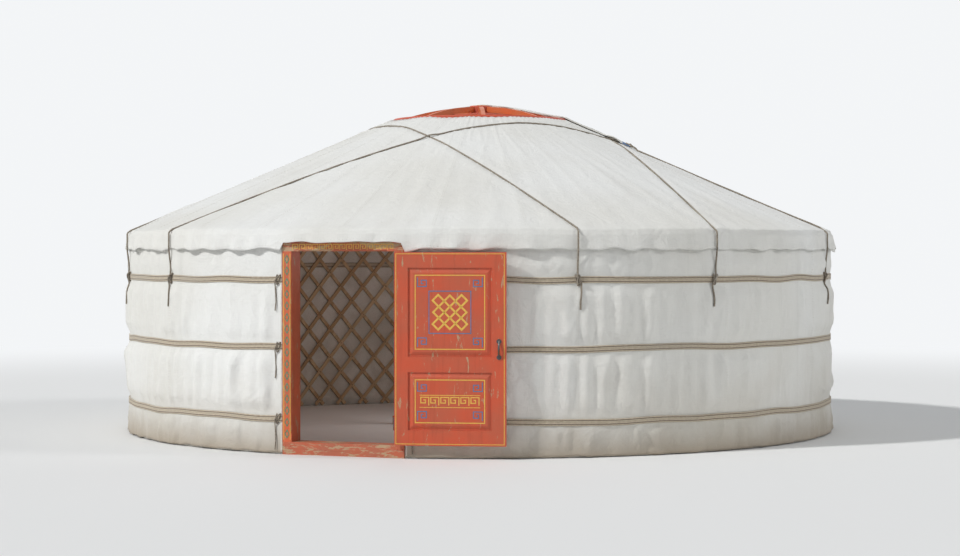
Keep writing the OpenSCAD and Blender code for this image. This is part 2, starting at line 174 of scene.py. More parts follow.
def ringFaces(count, sides, closed=False):
    # a body made of a row of rings, which closes on itself or gets two end caps
    total = count * sides
    if closed:
        return [tuple(v % total for v in face) for face in gridFaces(count + 1, sides, closed=True)]
    caps = [tuple(reversed(range(sides))), tuple(range(total - sides, total))]
    return gridFaces(count, sides, closed=True) + caps


def outwards(obj):
    work = bmesh.new()
    work.from_mesh(obj.data)
    bmesh.ops.recalc_face_normals(work, faces=work.faces)
    work.to_mesh(obj.data)
    work.free()


def joinedBodies(name, bodies, isSmooth=True):
    verts, faces = [], []
    for partVerts, partFaces in bodies:
        faces += [tuple(v + len(verts) for v in f) for f in partFaces]
        verts += list(partVerts)
    obj = meshObject(name, verts, faces, isSmooth=isSmooth)
    outwards(obj)
    return obj


def shellOf(name, inner, outer):
    # a closed body between two grids of points that match, with its rims closed
    rows, cols = inner.shape[:2]
    count = rows * cols
    sheet = gridFaces(rows, cols)
    faces = sheet + [tuple(v + count for v in f[::-1]) for f in sheet]
    rim = list(range(cols)) + [i * cols + cols - 1 for i in range(1, rows)]
    rim += list(range(count - 2, count - cols - 1, -1)) + [i * cols for i in range(rows - 2, 0, -1)]
    faces += [(a, a + count, b + count, b) for a, b in zip(rim, rim[1:] + rim[:1])]
    obj = meshObject(name, np.concatenate([inner.reshape(-1, 3), outer.reshape(-1, 3)]), faces)
    outwards(obj)
    return obj


def baked(obj, name):
    # turns an object with modifiers into a plain mesh at the origin
    bpy.context.view_layer.update()
    graph = bpy.context.evaluated_depsgraph_get()
    mesh = bpy.data.meshes.new_from_object(obj.evaluated_get(graph), preserve_all_data_layers=True,
                                           depsgraph=graph)
    bpy.data.objects.remove(obj)
    return newObject(name, mesh)


def solidified(obj, thick, offset=-1):
    layer = obj.modifiers.new("thickness", "SOLIDIFY")
    layer.thickness = thick
    layer.offset = offset
    layer.use_even_offset = False
    return baked(obj, obj.name)


def dress(obj, slot, *replaced, mat=None):
    if mat:
        useMaterial(obj, mat)
    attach(obj, "root")
    if replaced:
        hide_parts(*replaced)
    return obj


def sheetPiece(name, points, uvs, thick, slot, *replaced, mat, period=None):
    # a grid of points made a cloth; with a period it closes on itself
    faces = gridFaces(*points.shape[:2], closed=bool(period), flip=bool(period))
    sheet = meshObject(name, points.reshape(-1, 3), faces, np.stack(uvs, -1), period=period)
    return dress(solidified(sheet, thick), slot, *replaced, mat=mat)


def useMaterial(obj, mat):
    obj.data.materials.clear()
    obj.data.materials.append(mat)


# node building blocks: a field is a node's output that adds and multiplies like a number

class Field:
    def __init__(self, socket):
        self.socket = socket
        self.tree = socket.id_data

    def __add__(self, other):
        return calc("ADD", self, other)

    def __sub__(self, other):
        return calc("SUBTRACT", self, other)

    def __rsub__(self, other):
        return calc("SUBTRACT", other, self)

    def __mul__(self, other):
        return calc("MULTIPLY", self, other)

    def __truediv__(self, other):
        return calc("DIVIDE", self, other)

    def __rtruediv__(self, other):
        return calc("DIVIDE", other, self)


def fill(tree, sockets, values):
    for key, value in values.items():
        if isinstance(value, Field):
            tree.links.new(value.socket, sockets[key])
        else:
            sockets[key].default_value = value


def node(tree, kind, inputs=None, give=0, **settings):
    # adds a node and returns one of its outputs, or with give=None all of them by name
    made = tree.nodes.new(kind)
    for key, value in settings.items():
        setattr(made, key, value)
    fill(tree, made.inputs, inputs or {})
    if give is None:
        return {socket.name: Field(socket) for socket in made.outputs}
    return Field(made.outputs[give])


def calc(operation, *values, clamp=False):
    tree = next(v.tree for v in values if isinstance(v, Field))
    return node(tree, "ShaderNodeMath", dict(enumerate(values)), operation=operation, use_clamp=clamp)


def ramp(value, low, high, toLow=0.0, toHigh=1.0):
    span = {"Value": value, "From Min": low, "From Max": high, "To Min": toLow, "To Max": toHigh}
    return node(value.tree, "ShaderNodeMapRange", span, interpolation_type="SMOOTHSTEP")


def noise(vector, scale, detail=3.0, roughness=0.5, distortion=0.0):
    sizes = {"Vector": vector, "Scale": scale, "Detail": detail, "Roughness": roughness,
             "Distortion": distortion}
    return node(vector.tree, "ShaderNodeTexNoise", sizes, "Fac")


def stretched(vector, factors, turn=(0, 0, 0)):
    return node(vector.tree, "ShaderNodeMapping", {"Vector": vector, "Scale": factors, "Rotation": turn})


def split(vector):
    return node(vector.tree, "ShaderNodeSeparateXYZ", {0: vector}, None)


def joined(x, y, z=0.0):
    return node(x.tree, "ShaderNodeCombineXYZ", {"X": x, "Y": y, "Z": z})


def blended(factor, first, second):
    colors = [c if isinstance(c, Field) else (*c, 1.0) for c in (first, second)]
    return node(factor.tree, "ShaderNodeMix", {0: factor, 6: colors[0], 7: colors[1]}, 2, data_type="RGBA")


def placed(group, inputs):
    tree = next(v.tree for v in inputs.values() if isinstance(v, Field))
    return node(tree, "ShaderNodeGroup", inputs, None, node_tree=group)


def newTree(name, kind, takes, gives):
    # inputs and outputs by label: a socket kind, or a number for a float input with that value
    tree = bpy.data.node_groups.new(name, kind)
    for way, sockets in (("INPUT", takes), ("OUTPUT", gives)):
        for label, value in sockets.items():
            isFloat = isinstance(value, float)
            made = tree.interface.new_socket(label, in_out=way,
                                             socket_type="NodeSocket" + ("Float" if isFloat else value))
            if isFloat:
                made.default_value = value
    return tree, node(tree, "NodeGroupInput", give=None), tree.nodes.new("NodeGroupOutput").inputs


def makeGrimeGroup():
    # dust that rises from the ground, and blotches all over
    group, given, result = newTree("grime", "ShaderNodeTree", {
        "Vector": "Vector", "Dust Height": 0.3, "Blotch Size": 1.2, "Blotch Amount": 0.5},
        {"Dust": "Float", "Blotches": "Float"})
    place, rise = given["Vector"], given["Dust Height"]
    lifted = calc("MULTIPLY_ADD", noise(place, 3.5, 5.0, 0.6), rise, rise * 0.45)
    share = calc("SUBTRACT", 1.0, split(place)["Z"] / lifted, clamp=True)
    spots = noise(place, 1.0 / given["Blotch Size"], 6.0, 0.62, 0.6)
    fill(group, result, {"Dust": calc("POWER", share, 1.6, clamp=True),
                         "Blotches": ramp(spots, 0.48, 0.72) * given["Blotch Amount"]})
    return group


def makeWeaveGroup():
    # plain weave over a UV map in metres, with slubs
    group, given, result = newTree("weave", "ShaderNodeTree", {"UV": "Vector", "Thread": 0.0016},
                                   {"Height": "Float", "Slub": "Float"})
    parts = split(given["UV"])
    turn = math.pi / given["Thread"]
    warp, weft = (calc("SINE", parts[axis] * turn) for axis in "XY")
    runs, picks = (noise(stretched(given["UV"], pull), 1.0, 2.0)
                   for pull in ((9.0, 260.0, 1.0), (260.0, 9.0, 1.0)))
    fill(group, result, {"Height": calc("MULTIPLY_ADD", warp * weft, 0.5, 0.5),
                         "Slub": (runs + picks) * 0.5})
    return group


def makeGrainGroup():
    # wood grain along the first axis of the vector that it is given
    group, given, result = newTree("grain", "ShaderNodeTree", {"Vector": "Vector", "Size": 1.0},
                                   {"Grain": "Float", "Pores": "Float"})
    scaled = node(group, "ShaderNodeVectorMath", {0: given["Vector"], "Scale": given["Size"]},
                  operation="SCALE")
    pores = noise(stretched(scaled, (9.0, 210.0, 210.0)), 1.0, 2.0, 0.5)
    fill(group, result, {"Grain": noise(stretched(scaled, (1.6, 26.0, 26.0)), 1.0, 4.0, 0.6, 0.8),
                         "Pores": ramp(pores, 0.35, 0.62)})
    return group


def makeRoundGroup():
    # turns a place into bearing times a radius, distance from the middle, and height
    group, given, result = newTree("roundabout", "ShaderNodeTree", {"Vector": "Vector", "Radius": 2.8},
                                   {"Vector": "Vector"})
    x, y, z = split(given["Vector"]).values()
    bearing = calc("ARCTAN2", x, y * -1.0)
    fill(group, result, {"Vector": joined(bearing * given["Radius"], calc("SQRT", x * x + y * y), z)})
    return group


grimeGroup, weaveGroup = makeGrimeGroup(), makeWeaveGroup()
grainGroup, roundGroup = makeGrainGroup(), makeRoundGroup()


def material(name, rough, plain=None):
    # an empty material, and the place on the object
    mat = bpy.data.materials.new(name)
    mat.use_nodes = True
    shader = mat.node_tree.nodes["Principled BSDF"]
    fill(mat.node_tree, shader.inputs, {"Roughness": rough, **(plain or {})})
    return mat, node(mat.node_tree, "ShaderNodeTexCoord", give="Object")


def finish(mat, color, height, depth, strength, rough=None):
    bump = node(mat.node_tree, "ShaderNodeBump", {"Height": height, "Distance": depth, "Strength": strength})
    values = {"Base Color": color, "Normal": bump, **({"Roughness": rough} if rough else {})}
    fill(mat.node_tree, mat.node_tree.nodes["Principled BSDF"].inputs, values)
    return mat


def roundabout(place, radius):
    return placed(roundGroup, {"Vector": place, "Radius": radius})["Vector"]


def clothUv(place):
    return node(place.tree, "ShaderNodeUVMap", uv_map="cloth")


def canvasMaterial(name, settings):
    mat, place = material(name, 0.82, {"Sheen Weight": 0.12, "Sheen Roughness": 0.5})
    uv = clothUv(place)
    weave = placed(weaveGroup, {"UV": uv, "Thread": settings["thread"]})
    grime = placed(grimeGroup, {"Vector": place, "Dust Height": settings["dustHeight"],
                                "Blotch Size": 0.9, "Blotch Amount": settings["blotches"]})
    rain = noise(stretched(uv, (7.0, 0.55, 1.0)), 1.0, 5.0, 0.65)
    tint = blended(ramp(noise(place, 0.7, 2.0), 0.35, 0.65), settings["white"], settings["cream"])
    tint = blended(ramp(rain, 0.5, 0.78) * settings["streaks"], tint, settings["streakColor"])
    tint = blended(grime["Blotches"], tint, settings["blotchColor"])
    tint = blended(grime["Dust"] * settings["dust"], tint, settings["dustColor"])
    if "border" in settings:
        reach, wide, color = settings["border"]
        across = calc("ABSOLUTE", split(uv)["X"]) + calc("ABSOLUTE", split(uv)["Y"])
        start = reach - wide * math.sqrt(2)
        tint = blended(ramp(across, start, start + 0.004) * 0.9, tint, color)
    tint = blended(ramp(weave["Slub"], 0.42, 0.68) * 0.10, tint, (0.45, 0.43, 0.39))
    height = noise(place, 26.0, 5.0, 0.55, 0.9) * 0.35 + noise(place, 7.0, 3.0, 0.5, 1.6)
    return finish(mat, tint, height + weave["Height"] * 0.035 + weave["Slub"] * 0.06, settings["bump"], 0.8)


canvasWhite = canvasMaterial("canvasWhite", {
    "thread": 0.0022, "dustHeight": 0.75, "blotches": 0.22, "streaks": 0.30, "dust": 0.55, "bump": 0.010,
    "white": (0.80, 0.80, 0.775), "cream": (0.745, 0.735, 0.69), "streakColor": (0.56, 0.55, 0.51),
    "blotchColor": (0.60, 0.575, 0.52), "dustColor": (0.50, 0.43, 0.33)})
canvasFlap = canvasMaterial("canvasFlap", {
    "thread": 0.0024, "dustHeight": 0.3, "blotches": 0.5, "streaks": 0.35, "dust": 0.0, "bump": 0.008,
    "border": (1.34, 0.05, (0.055, 0.15, 0.33)),
    "white": (0.76, 0.755, 0.72), "cream": (0.68, 0.665, 0.61), "streakColor": (0.42, 0.40, 0.36),
    "blotchColor": (0.40, 0.375, 0.33), "dustColor": (0.5, 0.43, 0.33)})
canvasSkirt = canvasMaterial("canvasSkirt", {
    "thread": 0.0026, "dustHeight": 0.34, "blotches": 0.35, "streaks": 0.25, "dust": 0.9, "bump": 0.010,
    "white": (0.70, 0.69, 0.65), "cream": (0.62, 0.60, 0.54), "streakColor": (0.42, 0.39, 0.33),
    "blotchColor": (0.45, 0.40, 0.32), "dustColor": (0.34, 0.27, 0.19)})


def feltMaterial():
    mat, place = material("feltWool", 0.95, {"Sheen Weight": 0.35, "Sheen Roughness": 0.6})
    tone = noise(place, 3.0, 6.0, 0.65, 0.5)
    fibre = noise(place, 130.0, 4.0, 0.7, 2.5)
    hairs = noise(stretched(place, (60.0, 340.0, 200.0), (0.4, 0.9, 0.3)), 1.0, 2.0, 0.5, 1.5)
    tint = blended(ramp(tone, 0.35, 0.65), (0.58, 0.55, 0.49), (0.74, 0.715, 0.66))
    tint = blended(ramp(hairs, 0.58, 0.74), tint, (0.30, 0.27, 0.23))
    tint = blended(ramp(fibre, 0.5, 0.8) * 0.35, tint, (0.78, 0.76, 0.71))
    return finish(mat, tint, fibre * 0.5 + hairs * 0.25, 0.004, 0.9)


def hairMaterial():
    # twisted hair: fibres follow the strand's own length, kept as an attribute
    mat, place = material("hairRope", 0.78, {"Sheen Weight": 0.15})
    lay = node(place.tree, "ShaderNodeAttribute", give="Vector", attribute_name="strandUv")
    fibre = noise(stretched(lay, (55.0, 9.0, 1.0)), 1.0, 3.0, 0.6, 0.6)
    tint = blended(ramp(fibre, 0.38, 0.66), (0.13, 0.105, 0.08), (0.42, 0.36, 0.28))
    tint = blended(ramp(noise(place, 9.0, 3.0), 0.5, 0.75, 0.0, 0.4), tint, (0.55, 0.50, 0.42))
    return finish(mat, tint, fibre, 0.0012, 0.9)


def beltMaterial():
    # twill of hair yarn with a dark line near each edge
    mat, place = material("hairBelt", 0.85, {"Sheen Weight": 0.2})
    uv = clothUv(place)
    twill = calc("MULTIPLY_ADD", calc("SINE", split(uv)["X"] * 520.0 + split(uv)["Y"] * 420.0), 0.5, 0.5)
    lane = calc("ABSOLUTE", split(uv)["Y"] - 0.028)
    darkLane = ramp(lane, 0.0115, 0.0125) * ramp(lane, 0.0195, 0.0185)
    hairs = noise(stretched(uv, (40.0, 900.0, 1.0)), 1.0, 3.0, 0.6)
    tint = blended(ramp(hairs, 0.35, 0.7), (0.36, 0.29, 0.20), (0.66, 0.58, 0.46))
    tint = blended(darkLane * 0.85, tint, (0.10, 0.07, 0.05))
    tint = blended(ramp(noise(place, 2.2, 4.0), 0.5, 0.75, 0.0, 0.4), tint, (0.40, 0.36, 0.30))
    return finish(mat, tint, twill * 0.6 + hairs * 0.5, 0.0012, 0.9)


feltWool, hairRope, hairBelt = feltMaterial(), hairMaterial(), beltMaterial()


def paintedWood(name, paint, worn, along="radial", chips=0.62, gloss=0.42):
    # painted softwood: brush marks and grain under the paint, rubbed through in places
    mat, place = material(name, gloss, {"Coat Weight": 0.08, "Coat Roughness": 0.3})
    lengthwise = place
    if along == "radial":
        x, y, z = split(roundabout(place, 2.0)).values()
        lengthwise = joined(y, x, z)
    elif along == "round":
        lengthwise = roundabout(place, 0.7)
    elif along == "upright":
        x, y, z = split(place).values()
        lengthwise = joined(z, x, y)
    grain = placed(grainGroup, {"Vector": lengthwise, "Size": 1.0})
    tone = noise(place, 4.0, 4.0, 0.6)
    rub = noise(stretched(lengthwise, (7.0, 30.0, 30.0)), 1.0, 6.0, 0.72, 0.4)
    bare = ramp(rub, chips, chips + 0.06)
    tint = blended(ramp(tone, 0.3, 0.7), paint, worn)
    tint = blended(ramp(grain["Grain"], 0.5, 0.75, 0.0, 0.35), tint, tuple(c * 0.55 for c in paint))
    tint = blended(bare, tint, (0.46, 0.31, 0.18))
    height = grain["Grain"] * 0.6 + grain["Pores"] * 0.15 - bare * 0.5
    return finish(mat, tint, height, 0.0015, 0.7, ramp(tone, 0.3, 0.7, gloss - 0.06, gloss + 0.14))


polePaint = paintedWood("polePaint", (0.70, 0.155, 0.035), (0.62, 0.19, 0.06))
crownPaint = paintedWood("crownPaint", (0.60, 0.075, 0.03), (0.50, 0.09, 0.04), "round")
spokePaint = paintedWood("spokePaint", (0.66, 0.13, 0.035), (0.56, 0.15, 0.05))
postPaint = paintedWood("postPaint", (0.66, 0.12, 0.035), (0.55, 0.13, 0.05), "upright")
doorPaint = paintedWood("doorPaint", (0.60, 0.085, 0.03), (0.50, 0.10, 0.045), "upright", 0.60)
framePaint = paintedWood("framePaint", (0.64, 0.12, 0.04), (0.52, 0.12, 0.05), "upright", 0.58)
sillPaint = paintedWood("sillPaint", (0.52, 0.11, 0.045), (0.42, 0.13, 0.07), "level", 0.50, 0.55)

latticeSettings = {"sections": 5, "heads": 15, "halfRows": 11, "footZ": 0.055, "headZ": 1.505, "lean": 49.9,
                   "layersMeet": 2.8005}


def willowMaterial():
    # bare laths: the outer layer leans one way and the inner layer the other
    mat, place = material("willowLath", 0.62)
    along, away, up = split(roundabout(place, 2.8)).values()
    lean = math.radians(latticeSettings["lean"])
    layers = []
    for sign in (1, -1):
        run = along * math.cos(lean) + up * (sign * math.sin(lean))
        lath = joined(run, up * math.cos(lean) - along * (sign * math.sin(lean)), away)
        grain = placed(grainGroup, {"Vector": lath, "Size": 1.3})["Grain"]
        each = noise(stretched(lath, (0.25, 9.0, 9.0)), 1.0, 1.0)
        tint = blended(ramp(each, 0.35, 0.65), (0.44, 0.285, 0.15), (0.58, 0.42, 0.25))
        layers.append((blended(ramp(grain, 0.45, 0.7, 0.0, 0.6), tint, (0.27, 0.165, 0.085)), grain))
    (outerTint, outerGrain), (innerTint, innerGrain) = layers
    isOuter = calc("GREATER_THAN", away, latticeSettings["layersMeet"])
    height = outerGrain * isOuter + innerGrain * (1.0 - isOuter)
    return finish(mat, blended(isOuter, innerTint, outerTint), height, 0.0012, 0.8)


def ironMaterial():
    mat, place = material("forgedIron", 0.5, {"Metallic": 0.85})
    rust = noise(place, 22.0, 5.0, 0.65)
    tint = blended(ramp(rust, 0.52, 0.66), (0.10, 0.10, 0.10), (0.19, 0.085, 0.04))
    return finish(mat, tint, noise(place, 90.0, 4.0, 0.6), 0.0012, 0.7, ramp(rust, 0.4, 0.7, 0.38, 0.75))


def plainFinish(name, color, second, rough, grainScale, depth):
    # small parts: thread, hide and line paint, with a mottled tone and a fine surface
    mat, place = material(name, rough)
    tone = noise(place, grainScale, 4.0, 0.6)
    return finish(mat, blended(ramp(tone, 0.35, 0.65), color, second), tone, depth, 0.6)


willowLath, forgedIron = willowMaterial(), ironMaterial()
rawhide = plainFinish("rawhide", (0.40, 0.27, 0.15), (0.24, 0.15, 0.08), 0.6, 160.0, 0.001)
seamThread = plainFinish("seamThread", (0.66, 0.63, 0.55), (0.528, 0.504, 0.44), 0.8, 300.0, 0.0005)
rawCloth = plainFinish("rawCloth", (0.70, 0.68, 0.62), (0.60, 0.575, 0.51), 0.85, 120.0, 0.0008)
linePaint = plainFinish("linePaint", (0.80, 0.52, 0.09), (0.72, 0.44, 0.08), 0.42, 60.0, 0.0006)
skyPaint = plainFinish("skyPaint", (0.05, 0.22, 0.42), (0.04, 0.17, 0.33), 0.42, 60.0, 0.0006)
leafPaint = plainFinish("leafPaint", (0.04, 0.27, 0.16), (0.03, 0.2, 0.12), 0.42, 60.0, 0.0006)

for start, mat in (("lattice_wall", willowLath), ("roof_poles", polePaint), ("post", postPaint),
                   ("crown_rim", crownPaint), ("crown_ring", crownPaint), ("crown_spokes", spokePaint),
                   ("crown_hub", crownPaint), ("door_leaf", doorPaint), ("door_sill", sillPaint),
                   ("door_jamb", framePaint), ("door_lintel", sillPaint), ("door_hinges", forgedIron),
                   ("door_handle", forgedIron)):
    for name, obj in nodes.items():
        if name.startswith(start):
            useMaterial(obj, mat)
print("materials made")


# felts: thick sheets with a soft uneven surface

feltSettings = {"thick": 0.018, "step": 0.085, "quarters": 4, "gap": 0.0007, "offLaths": 0.0025,
                "give": 0.006, "unevenness": 0.0035, "dimples": 0.0025, "dimpleWaves": (79, 24),
                "depth": 0.030, "sag": 0.0025, "sagRoom": 0.004}


def feltSpan(index, start):
    # bearings at which a quarter begins and ends
    span = (math.tau - 2 * start) / feltSettings["quarters"]
    gap = feltSettings["gap"]
    return start + span * (index - 1) + gap, start + span * index - gap


def makeWallFelt(index):
    a0, a1 = feltSpan(index, doorEdge(feltIn))
    cols, rows = (int(size / feltSettings["step"]) for size in ((a1 - a0) * feltIn, wallTop))
    around, up = np.meshgrid(np.linspace(a0, a1, cols), np.linspace(0.0, wallTop - 0.002, rows))
    bulge = feltSettings["unevenness"] * ripples(around, up, 40 + index, 30, (3, 60), (2, 22))
    turns, rises = feltSettings["dimpleWaves"]
    dimple = feltSettings["dimples"] * np.abs(np.sin(around * turns) * np.sin(up * rises))
    off = np.clip(bulge * 0.5 + 0.002 + dimple, 0.0, feltSettings["give"])
    inner = feltIn + feltSettings["offLaths"] + off
    outer = np.minimum(inner + feltSettings["thick"], feltOut - 0.0005)
    obj = shellOf(f"wallFelt{index}", ringGrid(around, inner, up), ringGrid(around, outer, up))
    dress(obj, "felt", f"wall_felt_{index}", mat=feltWool)
    (a1 - a0) * (feltIn + 0.01)


def makeRoofFelt(index):
    a0, a1 = feltSpan(index, 0.0)
    cols, rows = (int(size / feltSettings["step"]) for size in ((a1 - a0) * feltOut, feltOut - coverR))
    around, away = np.meshgrid(np.linspace(a0, a1, cols), np.linspace(coverR, feltOut, rows))
    sag = feltSettings["sag"] * (1 - np.cos(around * poleCount)) * smooth(*sinkFrom, away)
    room = feltSettings["sagRoom"]
    lowSide = roofZ(away) - feltSettings["depth"] / math.cos(slope) + room - np.clip(sag, 0, room)
    highSide = lowSide + feltSettings["thick"] / math.cos(slope)
    obj = shellOf(f"roofFelt{index}", ringGrid(around, away, lowSide), ringGrid(around, away, highSide))
    dress(obj, "felt", f"roof_felt_{index}", mat=feltWool)
    slantOut, slantIn = feltOut / math.cos(slope), coverR / math.cos(slope)
    fan = (a1 - a0) * math.cos(slope)
    2 * slantOut * math.sin(fan / 2)
    slantOut - slantIn * math.cos(fan / 2)
    fan / 2 * (slantOut ** 2 - slantIn ** 2)


for quarter in range(1, feltSettings["quarters"] + 1):
    makeWallFelt(quarter)
    makeRoofFelt(quarter)
print("felts made")


# outer canvas

wallSettings = {"cols": 1040, "rows": 46, "thick": 0.003, "panels": 14, "seamHeight": 0.0022,
                "seamWidth": 0.016, "bulge": 0.025, "waves": 0.0020, "pleats": 0.0062, "most": 0.055,
                "tiedWidth": 0.24, "tiedShare": 0.15, "headReach": 0.11, "beltGrip": (0.026, 0.125),
                "overSkirt": (-0.015, 0.09), "underHem": 0.7,
                "tucks": {"count": 340, "length": (0.10, 0.36), "width": (0.015, 0.036),
                          "height": (0.006, 0.017), "lean": 0.28},
                "slack": {"count": 90, "length": (0.15, 0.45), "width": (0.02, 0.05),
                          "height": (0.003, 0.008), "lean": 1.2}}


def tiedAtDoor(around, least):
    # share of the canvas's play that is left beside the jambs, where it is tied
    toJamb = np.minimum(around, math.tau - around) * wallR - halfDoor
    return least + (1 - least) * smooth(0.0, wallSettings["tiedWidth"], toJamb)


def wallShape(around, up):
    # how far the wall canvas stands off its solid, for a bearing and a height
    arc, period = around * wallR, math.tau * wallR
    held = smooth(0.0, wallSettings["headReach"], wallTop - up)
    for level in beltZ:
        held = held * smooth(*wallSettings["beltGrip"], np.abs(up - level))
    free = smooth(*(skirtTop + reach for reach in wallSettings["overSkirt"]), up)
    swell = 0.55 + 0.45 * ripples(around, up, 3, 14, (2, 17), (0.5, 4))
    loose = 0.5 + 0.5 * np.clip(ripples(around, up, 6, 12, (1, 9), (0.3, 2)), -1, 1)
    waves = ripples(around, up, 5, 30, (12, 60), (1, 9))
    pleats = ripples(around, up, 7, 34, (45, 150), (0.2, 2.2))
    off = wallSettings["bulge"] * held * np.clip(swell, 0.05, 1.5)
    off = off + wallSettings["waves"] * held * waves
    off = off + wallSettings["pleats"] * held ** 0.5 * loose * pleats
    tucks = creases(arc, up, period, 11, rows=beltZ, **wallSettings["tucks"])
    slack = creases(arc, up, period, 12, **wallSettings["slack"])
    off = off + (tucks * (0.06 + 0.94 * held) + slack * held)
    underHem = 1 - wallSettings["underHem"] * smooth(beltZ[2] + 0.04, hemLow - 0.04, up)
    off = off * free * underHem * tiedAtDoor(around, wallSettings["tiedShare"])
    return np.clip(off, -0.0005, wallSettings["most"])


def panelSeams(count):
    start = doorEdge(wallR)
    return [start + (math.tau - 2 * start) * k / count for k in range(1, count)]


def wallSpan(r, cols):
    return np.linspace(doorEdge(r), math.tau - doorEdge(r), cols)


def makeWallCover():
    start = doorEdge(feltOut)
    around, up = np.meshgrid(wallSpan(feltOut, wallSettings["cols"]),
                             np.linspace(clothLow, wallTop, wallSettings["rows"]))
    r = wallR + wallShape(around, up)
    for seam in panelSeams(wallSettings["panels"]):
        r = r + wallSettings["seamHeight"] * hump((around - seam) * wallR, wallSettings["seamWidth"])
    obj = sheetPiece("wallCover", ringGrid(around, r, up), (around * wallR, up), wallSettings["thick"],
                     "canvas", "wall_canvas", mat=canvasWhite)
    return obj


wallCover = makeWallCover()

skirtSettings = {"cols": 700, "rows": 16, "thick": 0.003, "uneven": 0.004, "hem": 0.0021, "off": 0.006,
                 "waves": 0.004, "flare": 0.006, "most": 0.034, "tiedShare": 0.25,
                 "beltGrip": (0.024, 0.085), "hemAt": (0.035, 0.03),
                 "tucks": {"count": 260, "length": (0.05, 0.16), "width": (0.009, 0.022),
                           "height": (0.005, 0.014), "lean": 0.3}}


def makeSkirt():
    start = doorEdge(wallR)
    around, up = np.meshgrid(wallSpan(wallR, skirtSettings["cols"]),
                             np.linspace(0.0, 1.0, skirtSettings["rows"]))
    uneven, arc = skirtSettings["uneven"], around * wallR
    top = skirtTop + uneven * ripples(around[0], 0.0, 21, 12, (5, 60), (0, 1))
    bottom = clothLow + 0.002 + uneven * np.abs(ripples(around[0], 0.0, 22, 16, (10, 90), (0, 1)))
    z = bottom + (top - bottom) * up
    held = smooth(*skirtSettings["beltGrip"], np.abs(z - beltZ[0]))
    hemAt, hemWide = skirtSettings["hemAt"]
    waves = skirtSettings["waves"] * ripples(around, z, 23, 26, (25, 120), (1, 8))
    tucks = creases(arc, z, math.tau * wallR, 24, **skirtSettings["tucks"])
    off = (skirtSettings["off"] + waves) * held + tucks * (0.3 + 0.7 * held)
    off = off + skirtSettings["flare"] * (1 - up) ** 2 + skirtSettings["hem"] * hump(up - hemAt, hemWide)
    off = off * tiedAtDoor(around, skirtSettings["tiedShare"])
    r = skirtR + np.clip(off, 0.0, skirtSettings["most"])
    obj = sheetPiece("wallSkirt", ringGrid(around, r, z), (arc, z), skirtSettings["thick"],
                     "skirt_canvas", "wall_skirt", mat=canvasSkirt)
    return obj


wallSkirt = makeSkirt()

roofSettings = {"cols": 640, "rows": 62, "hemRows": 9, "rollRows": 4, "thick": 0.003, "gores": 27,
                "mapR": 2.0, "hollow": 0.0045, "swell": 0.006, "gathers": 108, "gatherHeight": 0.004,
                "seamHeight": 0.0022, "seamWidth": 0.013, "most": 0.03, "roll": 0.030, "flare": 0.017,
                "hemHeight": 0.0016, "hemAt": (0.86, 0.07), "hemWander": 0.006, "hemOverDoor": 0.064,
                "gatherReach": 0.22, "foldsFrom": (0.75, 0.95), "press": 0.007, "pressWidth": 0.022,
                "ridge": (0.004, 0.055, 0.03), "ropeHold": 0.09,
                "folds": {"count": 200, "length": (0.12, 0.45), "width": (0.010, 0.024),
                          "height": (0.002, 0.006), "lean": 0.22},
                "ropePass": 0.85, "eaveTurn": 0.035,
                "ropeMiddles": (45, 135, 225, 315), "flapRopes": (270, 90, 180)}     # in degrees
ropeReach = math.acos(roofSettings["ropePass"] / (eaveR - roofSettings["eaveTurn"])) / math.cos(slope)


def ropeGap(around, away):
    # distance on the cone from the nearest of the four long ropes
    nearest = np.full(np.broadcast(around, away).shape, 9.0)
    for middle in roofSettings["ropeMiddles"]:
        reach = away * np.cos(turnFrom(around, math.radians(middle)) * math.cos(slope))
        nearest = np.minimum(nearest, np.abs(reach - roofSettings["ropePass"]))
    return nearest


def roofShape(around, away):
    # how far the roof canvas stands off its cone
    hollow, mapR, gap = roofSettings["hollow"], roofSettings["mapR"], ropeGap(around, away)
    between = 0.5 - 0.5 * np.cos(around * poleCount)
    off = hollow - hollow * between * smooth(*sinkFrom, away)
    off = off + roofSettings["swell"] * (0.5 + 0.5 * ripples(around, away, 31, 16, (2, 14), (0.5, 3)))
    tight = np.exp(-((away - coverR) / roofSettings["gatherReach"]))
    turns = around * roofSettings["gathers"] + 2 * ripples(around, away, 32, 6, (3, 20), (0, 2))
    off = off + roofSettings["gatherHeight"] * tight * (0.5 + 0.5 * np.sin(turns))
    folds = creases(around * mapR, away, math.tau * mapR, 33, **roofSettings["folds"])
    off = off + folds * smooth(*roofSettings["foldsFrom"], away)
    high, beside, wide = roofSettings["ridge"]      # the canvas swells again beside a rope
    off = off - roofSettings["press"] * hump(gap, roofSettings["pressWidth"])
    off = off + high * hump(gap - beside, wide)
    seam = np.abs((around * roofSettings["gores"] / math.tau) % 1.0 - 0.5)
    seamWidth = roofSettings["seamWidth"] * roofSettings["gores"] / (math.tau * away)
    return np.clip(off + roofSettings["seamHeight"] * hump(0.5 - seam, seamWidth), 0.0, roofSettings["most"])


def dropBearings():
    # where ropes come down over the eave
    long = [math.radians(middle) + side * ropeReach for middle in roofSettings["ropeMiddles"]
            for side in (-1, 1)]
    return [a % math.tau for a in long + [math.radians(b) for b in sorted(roofSettings["flapRopes"])]]


def hemEdge(angles):
    # height of the hem, which stays above the doorway and has small waves
    angles = np.atleast_1d(angles) % math.tau
    atDoor = np.minimum(angles, math.tau - angles) < doorEdge(eaveR)
    lowest = np.where(atDoor, lintelLow + roofSettings["hemOverDoor"], hemLow)
    wander = np.where(atDoor, 0.4, 1.0) * roofSettings["hemWander"]
    return lowest + wander * ripples(angles, 0.0, 35, 18, (14, 90), (0, 1))


